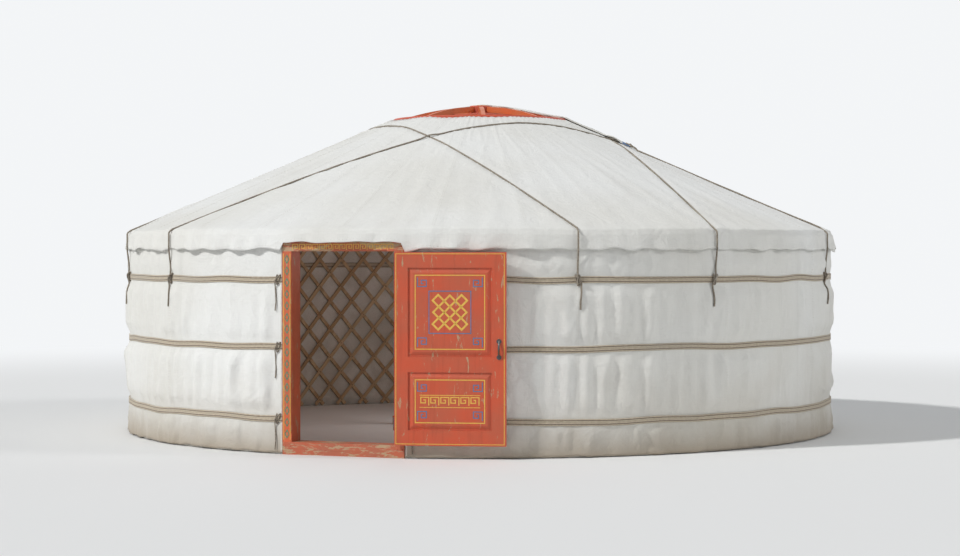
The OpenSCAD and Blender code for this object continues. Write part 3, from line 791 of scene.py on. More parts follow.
def makeRoofCover():
    cols, rows, hemRows = (roofSettings[key] for key in ("cols", "rows", "hemRows"))
    angles = np.linspace(0, math.tau, cols, endpoint=False)
    around, away = np.meshgrid(angles, np.linspace(coverR, eaveR - roofSettings["roll"], rows))
    off = roofShape(around, away)
    shape = list(zip(away + off * math.sin(slope), roofZ(away) + off * math.cos(slope)))
    startR, startZ = shape[-1]
    swing = roofSettings["roll"] * 0.9
    for step in range(1, roofSettings["rollRows"] + 1):     # the rounded edge over the eave
        lean = slope + (math.pi / 2 - slope) * step / roofSettings["rollRows"]
        shape.append((startR + swing * (math.sin(lean) - math.sin(slope)),
                      startZ - swing * (math.cos(slope) - math.cos(lean))))
    sideR, sideZ = shape[-1]
    drop = hemEdge(angles) - sideZ
    wave = ripples(angles, 0.0, 36, 26, (26, 110), (0, 1))
    free = np.ones_like(angles)
    for bearing in dropBearings():
        free = free * (1 - hump(turnFrom(angles, bearing) * eaveR, roofSettings["ropeHold"]))
    hemAt, hemWide = roofSettings["hemAt"]
    for share in np.arange(1, hemRows + 1) / hemRows:
        outward = roofSettings["flare"] * share * free * (1 + 0.55 * wave)
        outward = outward + roofSettings["hemHeight"] * hump(share - hemAt, hemWide)
        reach = np.maximum(np.maximum(sideR, eaveR - 0.003) + outward, eaveR - 0.0035)
        shape.append((reach, sideZ + drop * share))
    radii, heights = (np.array([ring[k] for ring in shape]) for k in (0, 1))
    wide = np.tile(angles, (len(shape), 1))
    steps = np.hypot(np.diff(radii.mean(1)), np.diff(heights.mean(1)))
    slant = np.tile(np.concatenate([[0], np.cumsum(steps)])[:, None], (1, cols))
    obj = sheetPiece("roofCover", ringGrid(wide, radii, heights), (wide * roofSettings["mapR"], slant),
                     roofSettings["thick"], "canvas", "roof_canvas", "eave_hem", mat=canvasWhite,
                     period=math.tau * roofSettings["mapR"])
    return obj


roofCover = makeRoofCover()
print("canvas made")


# woven belts round the wall

beltSettings = {"cols": 620, "wander": 0.003, "unevenness": 0.06,
                "outer": {"high": 0.048, "thick": 0.0085, "ribs": 4, "perRib": 5},
                "inner": {"high": highOf["inner_belt"].z - lowOf["inner_belt"].z, "thick": 0.0024,
                          "ribs": 3, "perRib": 4}}


def bandLoop(high, thick, ribs, perRib):
    # outline of a band made of ropes sewn side by side: how far out, how far up
    loop = []
    for rib in range(ribs):
        for step in range(perRib):
            t = math.pi * (step + 0.5) / perRib
            up = high * ((rib + (1 - math.cos(t)) / 2) / ribs - 0.5)
            loop.append((thick * (0.42 + 0.58 * math.sin(t) ** 0.8), up))
    return np.array(loop + [(0.0, high / 2), (0.0, -high / 2)])


def makeBand(name, replaced, radius, startR, wander, waves, loop, seed):
    # a belt that wanders up and down a little, in so many waves of so many turns
    angles = wallSpan(startR, beltSettings["cols"])
    middle = (lowOf[replaced].z + highOf[replaced].z) / 2
    middle = middle + wander * ripples(angles, 0.0, seed, *waves, (0, 1))
    around = angles[:, None]
    rough = ripples(around, loop[None, :, 1] * 40, seed + 1, 30, (90, 300), (0, 3))
    r = radius + loop[None, :, 0] * (1 + beltSettings["unevenness"] * rough)
    points = ringGrid(around, r, middle[:, None] + loop[None, :, 1])
    across = np.concatenate([[0], np.cumsum(np.hypot(*np.diff(loop, axis=0).T))])
    uvs = np.stack([np.broadcast_to(around * radius, r.shape), np.broadcast_to(across, r.shape)], -1)
    obj = meshObject(name, points.reshape(-1, 3), ringFaces(*r.shape), uvs)
    outwards(obj)
    dress(obj, "belt_weave", replaced, mat=hairBelt)


for name, replaced, backR, seed in (("beltLow", "belt_low", skirtR, 51),
                                    ("beltMiddle", "belt_middle", wallR, 53),
                                    ("beltHigh", "belt_high", wallR, 55)):
    makeBand(name, replaced, backR, backR + 0.004, beltSettings["wander"], (10, (3, 34)),
             bandLoop(**beltSettings["outer"]), seed)
makeBand("innerBelt", "inner_belt", feltIn + 0.0004, feltIn, beltSettings["wander"] * 0.6, (9, (3, 30)),
         bandLoop(**beltSettings["inner"]) * (-1, 1), 57)
print("belts made")


# twisted ropes, laid along chains of points by one node tree

ropeSettings = {"diameter": 0.014, "lay": 0.058, "step": 0.0058, "groove": 0.24, "sides": 12,
                "points": 160, "bed": 0.0058, "over": 0.013, "under": -0.002, "crossing": 0.045,
                "sway": 0.012, "tails": (0.75, 1.1), "eaveFrom": (0.020, 0.0085), "overCloth": 0.006}


def geometryTree(name, sizes):
    return newTree(name, "GeometryNodeTree", {"Geometry": "Geometry", **sizes, "Finish": "Material"},
                   {"Geometry": "Geometry"})


def endTree(tree, shape, given, result):
    single = node(tree, "GeometryNodeRealizeInstances", {0: shape})
    painted = node(tree, "GeometryNodeSetMaterial", {"Geometry": single, "Material": given["Finish"]})
    fill(tree, result, {"Geometry": painted})
    return tree


def makeRopeTree():
    tree, given, result = geometryTree("twistedRope", {"Diameter": 0.014, "Lay": 0.06, "Step": 0.006,
                                                       "Groove": 0.2})

    def add(kind, inputs=None, give=0, **settings):
        return node(tree, "GeometryNode" + kind, inputs, give, **settings)
    chain = add("MeshToCurve", {0: given["Geometry"]})
    fine = add("ResampleCurve", {"Curve": chain, "Length": given["Step"]}, mode="LENGTH")
    along = add("SplineParameter", give="Length")
    turned = add("SetCurveTilt", {"Curve": fine, "Tilt": along / given["Lay"] * math.tau})
    route = add("StoreNamedAttribute", {"Geometry": turned, "Name": "ropeAlong", "Value": along})
    sides = ropeSettings["sides"]
    ring = add("CurvePrimitiveCircle", {"Resolution": sides, "Radius": given["Diameter"] / 2.0})
    index = add("InputIndex")
    lobes = calc("ABSOLUTE", calc("COSINE", index * (1.5 * math.tau / sides)))
    swell = lobes * given["Groove"] + (1.0 - given["Groove"])
    swollen = node(tree, "ShaderNodeVectorMath", {0: add("InputPosition"), "Scale": swell},
                   operation="SCALE")
    lobed = add("SetPosition", {"Geometry": ring, "Position": swollen})
    outline = add("StoreNamedAttribute", {"Geometry": lobed, "Name": "ropeAround", "Value": index / sides})
    body = add("CurveToMesh", {"Curve": route, "Profile Curve": outline, "Fill Caps": True})
    lay = joined(*(add("InputNamedAttribute", {"Name": name}) for name in ("ropeAlong", "ropeAround")))
    marked = add("StoreNamedAttribute", {"Geometry": body, "Name": "strandUv", "Value": lay},
                 data_type="FLOAT_VECTOR")
    soft = add("SetShadeSmooth", {"Geometry": marked, "Shade Smooth": True})
    return endTree(tree, soft, given, result)


ropeTree = makeRopeTree()


def chainObject(name, chains, facings=None):
    # chains of points joined by edges, with an outward direction for each point where it is given
    mesh = bpy.data.meshes.new(name)
    verts, edges = [], []
    for chain in chains:
        edges += [(len(verts) + k, len(verts) + k + 1) for k in range(len(chain) - 1)]
        verts += [tuple(map(float, p)) for p in chain]
    mesh.from_pydata(verts, edges, [])
    if facings:
        layer = mesh.attributes.new("facing", "FLOAT_VECTOR", "POINT")
        layer.data.foreach_set("vector", np.array([tuple(out) for out in facings]).ravel())
    return newObject(name, mesh)


def facingChains(name, chains):
    # chains of (place, outward direction)
    return chainObject(name, [[spot for spot, _ in chain] for chain in chains],
                       [out for chain in chains for _, out in chain])


def runTree(obj, tree, sizes, mat, name):
    # sizes by the tree's own input names in small letters; others are passed over
    layer = obj.modifiers.new(tree.name, "NODES")
    layer.node_group = tree
    wanted = {**sizes, "finish": mat}
    for item in tree.interface.items_tree:
        if item.in_out == "INPUT" and item.name.lower() in wanted:
            layer[item.identifier] = wanted[item.name.lower()]
    return baked(obj, name)


def layRopes(name, chains, *replaced, **sizes):
    made = runTree(chainObject(name + "Route", chains), ropeTree, {**ropeSettings, **sizes}, hairRope, name)
    outwards(made)
    dress(made, "rope", *replaced)


def smoothPath(points, per=6):
    # a curve through every point, for routes that bend tightly
    pts = [Vector(p) for p in points]
    pts = [pts[0] * 2 - pts[1]] + pts + [pts[-1] * 2 - pts[-2]]
    path = []
    for a, b, c, d in zip(pts, pts[1:], pts[2:], pts[3:]):
        for t in np.arange(per) / per:
            path.append(0.5 * ((2 * b) + (c - a) * t + (2 * a - 5 * b + 4 * c - d) * t * t
                               + (3 * b - a - 3 * c + d) * t ** 3))
    return path + [pts[-2]]


def overRoof(bearing, r, lift):
    return polar(bearing, r + lift * math.sin(slope), roofZ(r) + lift * math.cos(slope))


# out and down: over the eave
eaveRoute = [(0.0035, 0.001), (0.0095, 0.016), (0.0095, 0.05), (0.010, 0.13)]
# along, out and up: to the top belt, twice round it, over itself, and a hanging tail
hitchRoute = [(0.0, 0.019, 0.10), (0.0, 0.019, 0.03), (0.001, 0.017, -0.024),
              (0.004, 0.006, -0.036), (0.008, -0.004, -0.01), (0.011, -0.002, 0.026),
              (0.013, 0.010, 0.036), (0.015, 0.018, 0.018), (0.016, 0.018, -0.018),
              (0.012, 0.008, -0.036), (-0.002, -0.003, -0.014), (-0.013, -0.002, 0.024),
              (-0.016, 0.010, 0.036), (-0.010, 0.026, 0.026), (0.008, 0.031, 0.010),
              (0.024, 0.024, -0.014), (0.027, 0.015, -0.05), (0.024, 0.012, -0.10),
              (0.020, 0.012, -0.16), (0.024, 0.012, -0.22)]


def ropeDown(bearing, seed):
    rng = np.random.default_rng(seed)
    sway = rng.uniform(-ropeSettings["sway"], ropeSettings["sway"])
    length = rng.uniform(*ropeSettings["tails"])
    back, lift = ropeSettings["eaveFrom"]
    path = [polar(bearing, eaveR - back, roofZ(eaveR - back) + lift)]
    path += [polar(bearing, eaveR + out, roofZ(eaveR) - drop) for out, drop in eaveRoute]
    side = 1 if rng.random() < 0.5 else -1
    for along, out, up in hitchRoute:
        tail = max(0.0, -up - 0.05)
        at = bearing + (side * along + sway * tail * 5) / wallR
        level = beltZ[2] + (up if tail == 0 else -0.05 - tail * length)
        cloth = float(wallShape(np.array([[at % math.tau]]), np.array([[level]]))[0, 0]) if tail else 0.0
        path.append(polar(at, wallR + max(out, cloth + ropeSettings["overCloth"]), level))
    return smoothPath(path)


def longRope(middle, isOver):
    turns = np.linspace(-ropeReach, ropeReach, ropeSettings["points"])
    away = roofSettings["ropePass"] / np.cos(turns * math.cos(slope))
    around = math.radians(middle) + turns
    off = roofShape(around % math.tau, away)
    off = np.convolve(np.pad(off, 3, mode="edge"), np.ones(7) / 7, "valid")
    crossing = np.minimum(np.abs(turns - math.pi / 4), np.abs(turns + math.pi / 4)) * away
    rise = ropeSettings["over" if isOver else "under"]
    lifts = off + ropeSettings["bed"] + rise * hump(crossing, ropeSettings["crossing"])
    top = [overRoof(*spot) for spot in zip(around, away, lifts)]
    return ropeDown(around[0], middle)[::-1] + top[1:-1] + ropeDown(around[-1], middle + 7)


ropeChains = [longRope(middle, middle in (45, 225)) for middle in roofSettings["ropeMiddles"]]
layRopes("roofRopes", ropeChains, "roof_ropes")
print("roof ropes made")


# short ties round the ends of the belts, beside the doorway

tieSettings = {"diameter": 0.010, "lay": 0.040, "step": 0.0065, "fromEdge": 0.034}


def beltTie(level, r, side):
    start = side * (doorEdge(wallR) + tieSettings["fromEdge"] / wallR)
    path = []
    for along, out, up in hitchRoute[5:]:
        off = max(out * 0.85, 0.008 + 0.06 * max(0, -up - 0.05))
        path.append(polar(start + side * along / r, r + off, level + up))
    return smoothPath(path)


layRopes("beltTies", [beltTie(level, r, side) for level, r in zip(beltZ, (skirtR, wallR, wallR))
                      for side in (-1, 1)], **tieSettings)


# folded cover over half of the crown, dropped as cloth on the crown and the roof

flapSettings = {"reach": 1.34, "rows": 56, "tiedR": 1.283, "frames": 44, "ply": 0.0035, "gap": 0.0062,
                "tension": 40.0, "shear": 12.0, "bending": 2.2, "damping": 12.0, "air": 3.0, "mass": 0.9,
                "touch": 0.004, "catchDepth": 0.03, "friction": 25, "dropFrom": 0.035, "tiedBy": 14,
                "easing": 12, "evened": (0.04, 0.25), "bed": 0.004, "overRope": 0.014,
                "ropeWidth": 0.035, "crossWidth": 0.05, "lining": 0.001, "seamLift": 0.0006,
                "corners": ((-1, 0), (1, 0), (0, 1))}
flapStep = flapSettings["reach"] / flapSettings["rows"]


def tubeBody(path, radius, sides):
    # plain tube; used for piping and to catch the cloth
    verts = []
    up = Vector((0.13, 0.21, 0.97))
    for k, spot in enumerate(path):
        way = (path[min(k + 1, len(path) - 1)] - path[max(k - 1, 0)]).normalized()
        across = way.cross(up).normalized()
        up = across.cross(way).normalized()
        for j in range(sides):
            turn = math.tau * j / sides
            verts.append(spot + radius * (math.cos(turn) * across + math.sin(turn) * up))
    return verts, ringFaces(len(path), sides)


def makeCatcher():
    work = bmesh.new()
    for name in ("crown_rim", "crown_spokes", "crown_ring", "crown_hub"):
        work.from_mesh(nodes[name].data)
    bmesh.ops.remove_doubles(work, verts=work.verts, dist=1e-5)
    around, away = np.meshgrid(np.linspace(0, math.tau, 72, endpoint=False), (coverR - 0.01, 1.0, 1.3, 1.7))
    cone = ringGrid(around, away, roofZ(away) + 0.006).reshape(-1, 3)
    bodies = [(cone, gridFaces(*away.shape, closed=True, flip=True))]
    for chain in ropeChains:
        near = [p for p in chain if math.hypot(p.x, p.y) < 1.6][::3]
        bodies.append(tubeBody(near, ropeSettings["diameter"] / 2, 6))
    for verts, faces in bodies:
        made = [work.verts.new(v) for v in verts]
        for face in faces:
            work.faces.new([made[k] for k in face])
    mesh = bpy.data.meshes.new("clothCatcher")
    work.to_mesh(mesh)
    work.free()
    catcher = newObject("clothCatcher", mesh)
    catcher.modifiers.new("catch", "COLLISION")
    catcher.collision.thickness_outer = flapSettings["touch"]
    catcher.collision.thickness_inner = flapSettings["catchDepth"]
    catcher.collision.cloth_friction = flapSettings["friction"]
    return catcher


def flapGrid():
    n = flapSettings["rows"]
    index = {}
    for j in range(n + 1):
        for i in range(j - n, n - j + 1):
            index[i, j] = len(index)
    faces = []
    for j in range(n):
        edge = n - j
        for i in range(1 - edge, edge - 1):
            faces.append((index[i, j], index[i + 1, j], index[i + 1, j + 1], index[i, j + 1]))
        faces.append((index[-edge, j], index[1 - edge, j], index[1 - edge, j + 1]))
        faces.append((index[edge - 1, j], index[edge, j], index[edge - 1, j + 1]))
    return index, np.array([(i * flapStep, j * flapStep) for i, j in index]), faces


def pinCorners(sheet, flat):
    # the corners start flat and are drawn out and down to where their ropes hold them
    sheet.shape_key_add(name="flat")
    tied = sheet.shape_key_add(name="tied")
    pins = sheet.vertex_groups.new(name="pins")
    for corner in flapSettings["corners"]:
        near = np.hypot(*(flat - np.array(corner) * flapSettings["reach"]).T) < 0.03
        for k in np.flatnonzero(near):
            pins.add([int(k)], 1.0, "REPLACE")
            away = math.hypot(*flat[k])
            r = flapSettings["tiedR"] - (flapSettings["reach"] - away)
            tied.data[k].co = (*(flat[k] * r / away), roofZ(r) + 0.018)
    for frameAt, value in ((1, 0.0), (flapSettings["tiedBy"], 1.0)):
        tied.value = value
        tied.keyframe_insert("value", frame=frameAt)


def dropFlap(flat, faces):
    catcher = makeCatcher()
    high = np.full(len(flat), hubTop + flapSettings["dropFrom"])
    sheet = meshObject("flapCloth", np.column_stack([flat, high]), faces)
    pinCorners(sheet, flat)
    cloth = sheet.modifiers.new("drape", "CLOTH")
    stiff, damp = flapSettings["tension"], flapSettings["damping"]
    for key, value in {"quality": 8, "mass": flapSettings["mass"], "air_damping": flapSettings["air"],
                       "tension_stiffness": stiff, "compression_stiffness": stiff,
                       "shear_stiffness": flapSettings["shear"],
                       "bending_stiffness": flapSettings["bending"],
                       "tension_damping": damp, "compression_damping": damp,
                       "vertex_group_mass": "pins"}.items():
        setattr(cloth.settings, key, value)
    cloth.collision_settings.distance_min = flapSettings["touch"]
    cloth.collision_settings.collision_quality = 3
    cloth.point_cache.frame_end = flapSettings["frames"] + 5
    scene = bpy.context.scene
    for number in range(1, flapSettings["frames"] + 1):
        scene.frame_set(number)
    shown = sheet.evaluated_get(bpy.context.evaluated_depsgraph_get())
    spots = np.empty(len(flat) * 3)
    shown.data.vertices.foreach_get("co", spots)
    scene.frame_set(1)
    bpy.data.objects.remove(sheet)
    bpy.data.objects.remove(catcher)
    return spots.reshape(-1, 3)


def lyingLevel(around, away):
    # height above the cone of a cloth that lies on the roof canvas, the ropes and their crossings
    turn = (around + math.pi / 4) % (math.pi / 2) - math.pi / 4
    crossR = roofSettings["ropePass"] / math.cos(math.pi / 4 * math.cos(slope))
    crossing = np.hypot(away - crossR, away * turn)
    over = flapSettings["overRope"]
    lift = over * hump(ropeGap(around, away), flapSettings["ropeWidth"])
    lift = lift + over * hump(crossing, flapSettings["crossWidth"])
    return (roofShape(around, away) + lift + flapSettings["bed"]) / math.cos(slope)


def flapNeighbours(index):
    # four neighbours of each point; points on a free edge or the fold look along it only
    n = flapSettings["rows"]
    near = np.arange(len(index))[:, None].repeat(4, 1)
    for (i, j), k in index.items():
        beside = ((i - 1, j), (i + 1, j), (i, j - 1), (i, j + 1))
        if abs(i) + j == n:
            turn = 1 if i > 0 else -1
            beside = ((i - turn, j + 1), (i + turn, j - 1)) * 2
        elif j == 0:
            beside = ((i - 1, j), (i + 1, j)) * 2
        if all(b in index for b in beside):
            near[k] = [index[b] for b in beside]
    return near


def easedFlap(spots, flat, index):
    # lays the free edges out over roof and ropes, evened out towards the middle
    near = flapNeighbours(index)
    inset = np.array([(flapSettings["rows"] - j - abs(i)) * flapStep / math.sqrt(2) for i, j in index])
    inside = smooth(*flapSettings["evened"], inset)
    toEdge, moving = 1 - inside, (1 - 0.85 * inside)[:, None]

    def level():
        away, around = np.hypot(spots[:, 0], spots[:, 1]), np.arctan2(spots[:, 0], -spots[:, 1]) % math.tau
        return away, lyingLevel(around, away)
    height = spots[:, 2] - roofZ(np.hypot(spots[:, 0], spots[:, 1]))
    spread = flat * flapSettings["tiedR"] / flapSettings["reach"]
    spots[:, :2] += toEdge[:, None] * (spread - spots[:, :2])
    away, lying = level()
    spots[:, 2] = roofZ(away) + height + toEdge * np.where(away > coverR, lying - height, 0)
    for _ in range(flapSettings["easing"]):
        spots = spots + 0.5 * moving * (spots[near].mean(1) - spots)
    away, lying = level()
    spots[:, 2] = np.where(away > coverR, np.maximum(spots[:, 2], roofZ(away) + lying), spots[:, 2])
    return spots


def makeFlap():
    index, flat, faces = flapGrid()
    spots = easedFlap(dropFlap(flat, faces), flat, index)
    base = meshObject("flapBase", spots, faces)
    normals = np.array([v.normal for v in base.data.vertices])
    bpy.data.objects.remove(base)
    n, count, gap = flapSettings["rows"], len(flat), flapSettings["gap"]
    lining = flapSettings["lining"]
    lower, upper = spots + normals * lining, spots + normals * (lining + gap)
    foldRow = [index[i, 0] for i in range(-n, n + 1)]
    bend = (lower[foldRow] + upper[foldRow]) / 2 - np.array([0, gap * 0.5, 0])
    allFaces = [f[::-1] for f in faces] + [tuple(v + count for v in f) for f in faces]
    for k, (a, b) in enumerate(zip(foldRow, foldRow[1:])):
        allFaces.append((a, b, 2 * count + k + 1, 2 * count + k))
        allFaces.append((2 * count + k, 2 * count + k + 1, b + count, a + count))
    sheet = meshObject("crownFlap", np.concatenate([lower, upper, bend]), allFaces,
                       np.concatenate([flat * (1, -1), flat, flat[foldRow]]))
    obj = solidified(sheet, flapSettings["ply"], 0)
    outwards(obj)
    dress(obj, "canvas", "crown_flap", mat=canvasFlap)
    seams = []
    lift = flapSettings["ply"] / 2 + flapSettings["seamLift"]
    for inset in (1, 3):
        row = [index[i, n - inset - abs(i)] for i in range(1 + inset - n, n - inset)]
        seams.append([(Vector(upper[k] + normals[k] * lift), Vector(normals[k])) for k in row])
    return [Vector(upper[index[x * n, y * n]]) for x, y in flapSettings["corners"]], seams


flapCorners, flapSeams = makeFlap()
print("crown flap draped")

# across, along and out: a knot through an eyelet in each corner of the flap
cornerKnot = [(0.016, -0.055, 0.012), (0.010, -0.035, 0.012), (-0.004, -0.018, 0.014),
              (-0.013, -0.008, 0.010), (-0.006, 0.004, 0.004), (0.009, 0.002, 0.006),
              (0.012, -0.012, 0.014), (0.0, -0.019, 0.018), (-0.011, -0.010, 0.014),
              (-0.006, 0.006, 0.010), (0.0, 0.030, 0.006)]


def flapRope(bearing, corner, seed):
    # from the corner straight down the roof
    r0 = math.hypot(corner.x, corner.y)
    knot = [overRoof(bearing + across / r0, r0 + along, corner.z - roofZ(r0) - 0.004 + out)
            for across, along, out in cornerKnot]
    away = np.arange(r0 + 0.05, eaveR - roofSettings["eaveTurn"], 0.035)
    blend = np.clip((away - r0) / 0.25, 0, 1)
    lifts = roofShape(np.full_like(away, bearing), away) * blend + (1 - blend) * 0.008 + 0.0062
    down = [overRoof(bearing, *spot) for spot in zip(away, lifts)]
    return smoothPath(knot) + down + ropeDown(bearing, seed)


layRopes("flapRopes", [flapRope(math.radians(b), corner, 70 + k) for k, (b, corner)
                       in enumerate(zip(roofSettings["flapRopes"], flapCorners))], "flap_ropes")
print("flap ropes made")


# stitches, knots and studs, set out by node trees

stitchSettings = {"length": 0.012, "thread": 0.0020, "apart": 0.008, "lift": 0.0006, "castFrom": 3.1,
                  "reach": 0.5, "castsRound": 500, "hemUp": 0.020, "skirtDown": 0.016,
                  "pitches": {"wall": 0.020, "roof": 0.026}}


def facingTree(name, sizes):
    tree, given, result = geometryTree(name, sizes)
    facing = node(tree, "GeometryNodeInputNamedAttribute", {"Name": "facing"}, data_type="FLOAT_VECTOR")
    return tree, given, result, facing


def turnedTo(vector, axis, inputs=None, **settings):
    # the rotation that points an axis along a direction
    return node(vector.tree, "FunctionNodeAlignRotationToVector", {"Vector": vector, **(inputs or {})},
                axis=axis, **settings)


def setOut(points, shape, turn, scale):
    return node(points.tree, "GeometryNodeInstanceOnPoints",
                {"Points": points, "Instance": shape, "Rotation": turn, "Scale": scale})


def makeStitchTree():
    tree, given, result, facing = facingTree("stitchRow", {"Pitch": 0.02, "Length": 0.012, "Thread": 0.002})
    chain = node(tree, "GeometryNodeMeshToCurve", {0: given["Geometry"]})
    spots = node(tree, "GeometryNodeResampleCurve", {"Curve": chain, "Length": given["Pitch"]},
                 mode="LENGTH")
    bead = node(tree, "GeometryNodeMeshUVSphere", {"Segments": 4, "Rings": 2, "Radius": 0.5})
    lying = turnedTo(node(tree, "GeometryNodeInputTangent"), "X")
    upright = turnedTo(facing, "Z", {"Rotation": lying}, pivot_axis="X")
    scale = joined(given["Length"], given["Thread"], given["Thread"])
    return endTree(tree, setOut(spots, bead, upright, scale), given, result)


def makeKnobTree():
    tree, given, result, facing = facingTree("knobField", {
        "Size": 0.007, "Flatness": 0.5, "Stretch": 1.0, "Unevenness": 0.1, "Sides": 8.0, "Seed": 4.0})
    knob = node(tree, "GeometryNodeMeshUVSphere", {"Segments": given["Sides"], "Rings": 4, "Radius": 1.0})
    spread = {2: 1.0 - given["Unevenness"], 3: given["Unevenness"] + 1.0, "Seed": given["Seed"]}
    size = given["Size"] * node(tree, "FunctionNodeRandomValue", spread, 1, data_type="FLOAT")
    scale = joined(size * given["Stretch"], size, size * given["Flatness"])
    many = setOut(given["Geometry"], knob, turnedTo(facing, "Z"), scale)
    soft = node(tree, "GeometryNodeSetShadeSmooth", {0: many, "Shade Smooth": True})
    return endTree(tree, soft, given, result)


stitchTree, knobTree = makeStitchTree(), makeKnobTree()


def cast(surface, start, way):
    # a short ray, which never meets the far side of the yurt
    spot, normal, _, _ = surface.ray_cast(start, way, stitchSettings["reach"])
    if spot is None:
        return None
    if normal.dot(way) > 0:
        normal = -normal
    return spot + normal * stitchSettings["lift"], normal


def surfaceOf(obj):
    return BVHTree.FromObject(obj, bpy.context.evaluated_depsgraph_get())


def sewSeams(obj, seams, places, rayTo):
    # two rows of stitches beside each seam
    surface, rows = surfaceOf(obj), []
    for seam in seams:
        for aside in (-stitchSettings["apart"], stitchSettings["apart"]):
            hits = [cast(surface, *rayTo(seam, aside, place)) for place in places]
            rows.append([hit for hit in hits if hit])
    return rows


def rayToWall(seam, aside, z):
    at = seam + aside / wallR
    return polar(at, stitchSettings["castFrom"], z), inward(at)


def rayToRoof(seam, aside, r):
    at = seam + aside / r
    way = polar(at, -math.sin(slope), -math.cos(slope))
    return polar(at, r, roofZ(r)) - way * 0.1, way


def sewRound(obj, level):
    # one row all round, at a height given by a function of the bearing
    surface = surfaceOf(obj)
    angles = np.linspace(0, math.tau, stitchSettings["castsRound"], endpoint=False)
    hits = [cast(surface, polar(a, stitchSettings["castFrom"], level(a)), inward(a)) for a in angles]
    rows, row = [], []
    for hit in hits + [None]:
        if hit and hit[0].xy.length > feltOut:
            row.append(hit)
        else:
            rows, row = rows + ([row] if len(row) > 2 else []), []
    return rows


wallRows = sewSeams(wallCover, panelSeams(wallSettings["panels"]),
                    np.arange(skirtTop + 0.02, hemLow + 0.03, 0.03), rayToWall)
goreSeams = [gore * math.tau / roofSettings["gores"] for gore in range(roofSettings["gores"])]
roofRows = sewSeams(roofCover, goreSeams, np.arange(coverR + 0.03, eaveR - 0.05, 0.04), rayToRoof)
hemRows = sewRound(roofCover, lambda a: hemEdge(a) + stitchSettings["hemUp"])
skirtRows = sewRound(wallSkirt, lambda a: skirtTop - stitchSettings["skirtDown"])
for name, rows, pitch, slot in (
        ("wallStitches", wallRows, "wall", "canvas"), ("roofStitches", roofRows, "roof", "canvas"),
        ("hemStitches", hemRows, "roof", "canvas"), ("skirtStitches", skirtRows, "roof", "skirt_canvas"),
        ("flapStitches", flapSeams, "wall", "canvas")):
    sizes = {**stitchSettings, "pitch": stitchSettings["pitches"][pitch]}
    dress(runTree(facingChains(name + "Rows", rows), stitchTree, sizes, seamThread, name), slot)
print("seams sewn")


def knobPiece(name, spots, mat, slot, **sizes):
    # spots are pairs of a place and an outward direction
    chains = facingChains(name + "Spots", [[spot] for spot in spots])
    dress(runTree(chains, knobTree, sizes, mat, name), slot)


latticeHeads = latticeSettings["heads"] * latticeSettings["sections"]
knotSettings = {"size": 0.0062, "flatness": 0.62, "stretch": 1.35, "unevenness": 0.18, "sides": 6.0}
loopSettings = {"diameter": 0.006, "lay": 0.026, "step": 0.006, "wide": 0.025, "high": 0.036, "points": 10,
                "inset": 0.028, "aboveHead": 0.032, "lean": 0.010, "spread": 0.0002}


def latticeColumn(column):
    start = doorEdge(latticeIn)
    return start + (math.tau - 2 * start) * column / (2 * latticeHeads)


def crossingSpots():
    rows, foot = latticeSettings["halfRows"], latticeSettings["footZ"]
    rise = (latticeSettings["headZ"] - foot) / rows
    spots = []
    for column in range(1, 2 * latticeHeads):
        at = latticeColumn(column)
        spots += [(polar(at, latticeIn - 0.001, foot + rise * row), inward(at))
                  for row in range(column % 2, rows + 1, 2)]
    return spots


knobPiece("lathKnots", crossingSpots(), rawhide, "lattice_wood", **knotSettings)


def poleLoop(at):
    # a loop of cord at the pole's foot, hung on the fork of the laths
    centre = polar(at, latticeIn - loopSettings["inset"],
                   latticeSettings["headZ"] + loopSettings["aboveHead"])
    side = Vector((math.cos(at), math.sin(at), 0))
    loop = []
    for k in range(loopSettings["points"] + 1):
        turn = math.tau * k / loopSettings["points"]
        loop.append(centre + side * loopSettings["wide"] * math.cos(turn)
                    + Vector((0, 0, loopSettings["high"] * math.sin(turn)))
                    - inward(at) * (loopSettings["lean"] * math.sin(turn) + loopSettings["spread"] * k))
    return loop


headBearings = [latticeColumn(2 * head + 1) for head in range(latticeHeads)]
layRopes("poleLoops", [poleLoop(at) for at in headBearings], **loopSettings)
print("knots and loops tied")


# painted ornament, laid on as low relief: border lines, key hooks and an interlaced knot

def strokeBody(path, width, closed, place):
    # one painted line with mitred corners; place turns (across, along, out) into a spot
    pts, half, verts = [Vector(p) for p in path], width / 2, []
    height, sunk = lineSettings["relief"], -lineSettings["sunk"]
    for k, spot in enumerate(pts):
        before = pts[k - 1] if closed or k else None
        after = pts[(k + 1) % len(pts)] if closed or k < len(pts) - 1 else None
        ways = [(b - a).normalized() for a, b in ((before, spot), (spot, after))
                if a is not None and b is not None]
        sides = [Vector((-w.y, w.x)) for w in ways]
        side = sum(sides, Vector((0, 0)))
        side = side / max(side.dot(sides[0]), 0.3)
        for share, out in ((-1, sunk), (-0.8, height), (0.8, height), (1, sunk)):
            verts.append(place(*(spot + side * half * share), out))
    return verts, ringFaces(len(pts), 4, closed)


def paintPiece(name, strokes, mat, slot):
    dress(joinedBodies(name, [strokeBody(*stroke) for stroke in strokes], isSmooth=False), slot, mat=mat)


leafSettings = {"turned": 193.0, "hingeGap": 0.003, "hingeOut": 0.016, "leafGap": 0.005, "thick": 0.040,
                "stile": 0.096, "rail": 0.108, "split": 0.42, "border": 0.034, "inset": 0.018,
                "hook": 0.062, "knot": 0.055, "knotFrame": 0.146, "keys": 0.056, "keyPitch": 0.07,
                "keyBand": (0.212, 0.042), "keyStart": 0.007, "hookInset": 0.016, "edge": 0.012}
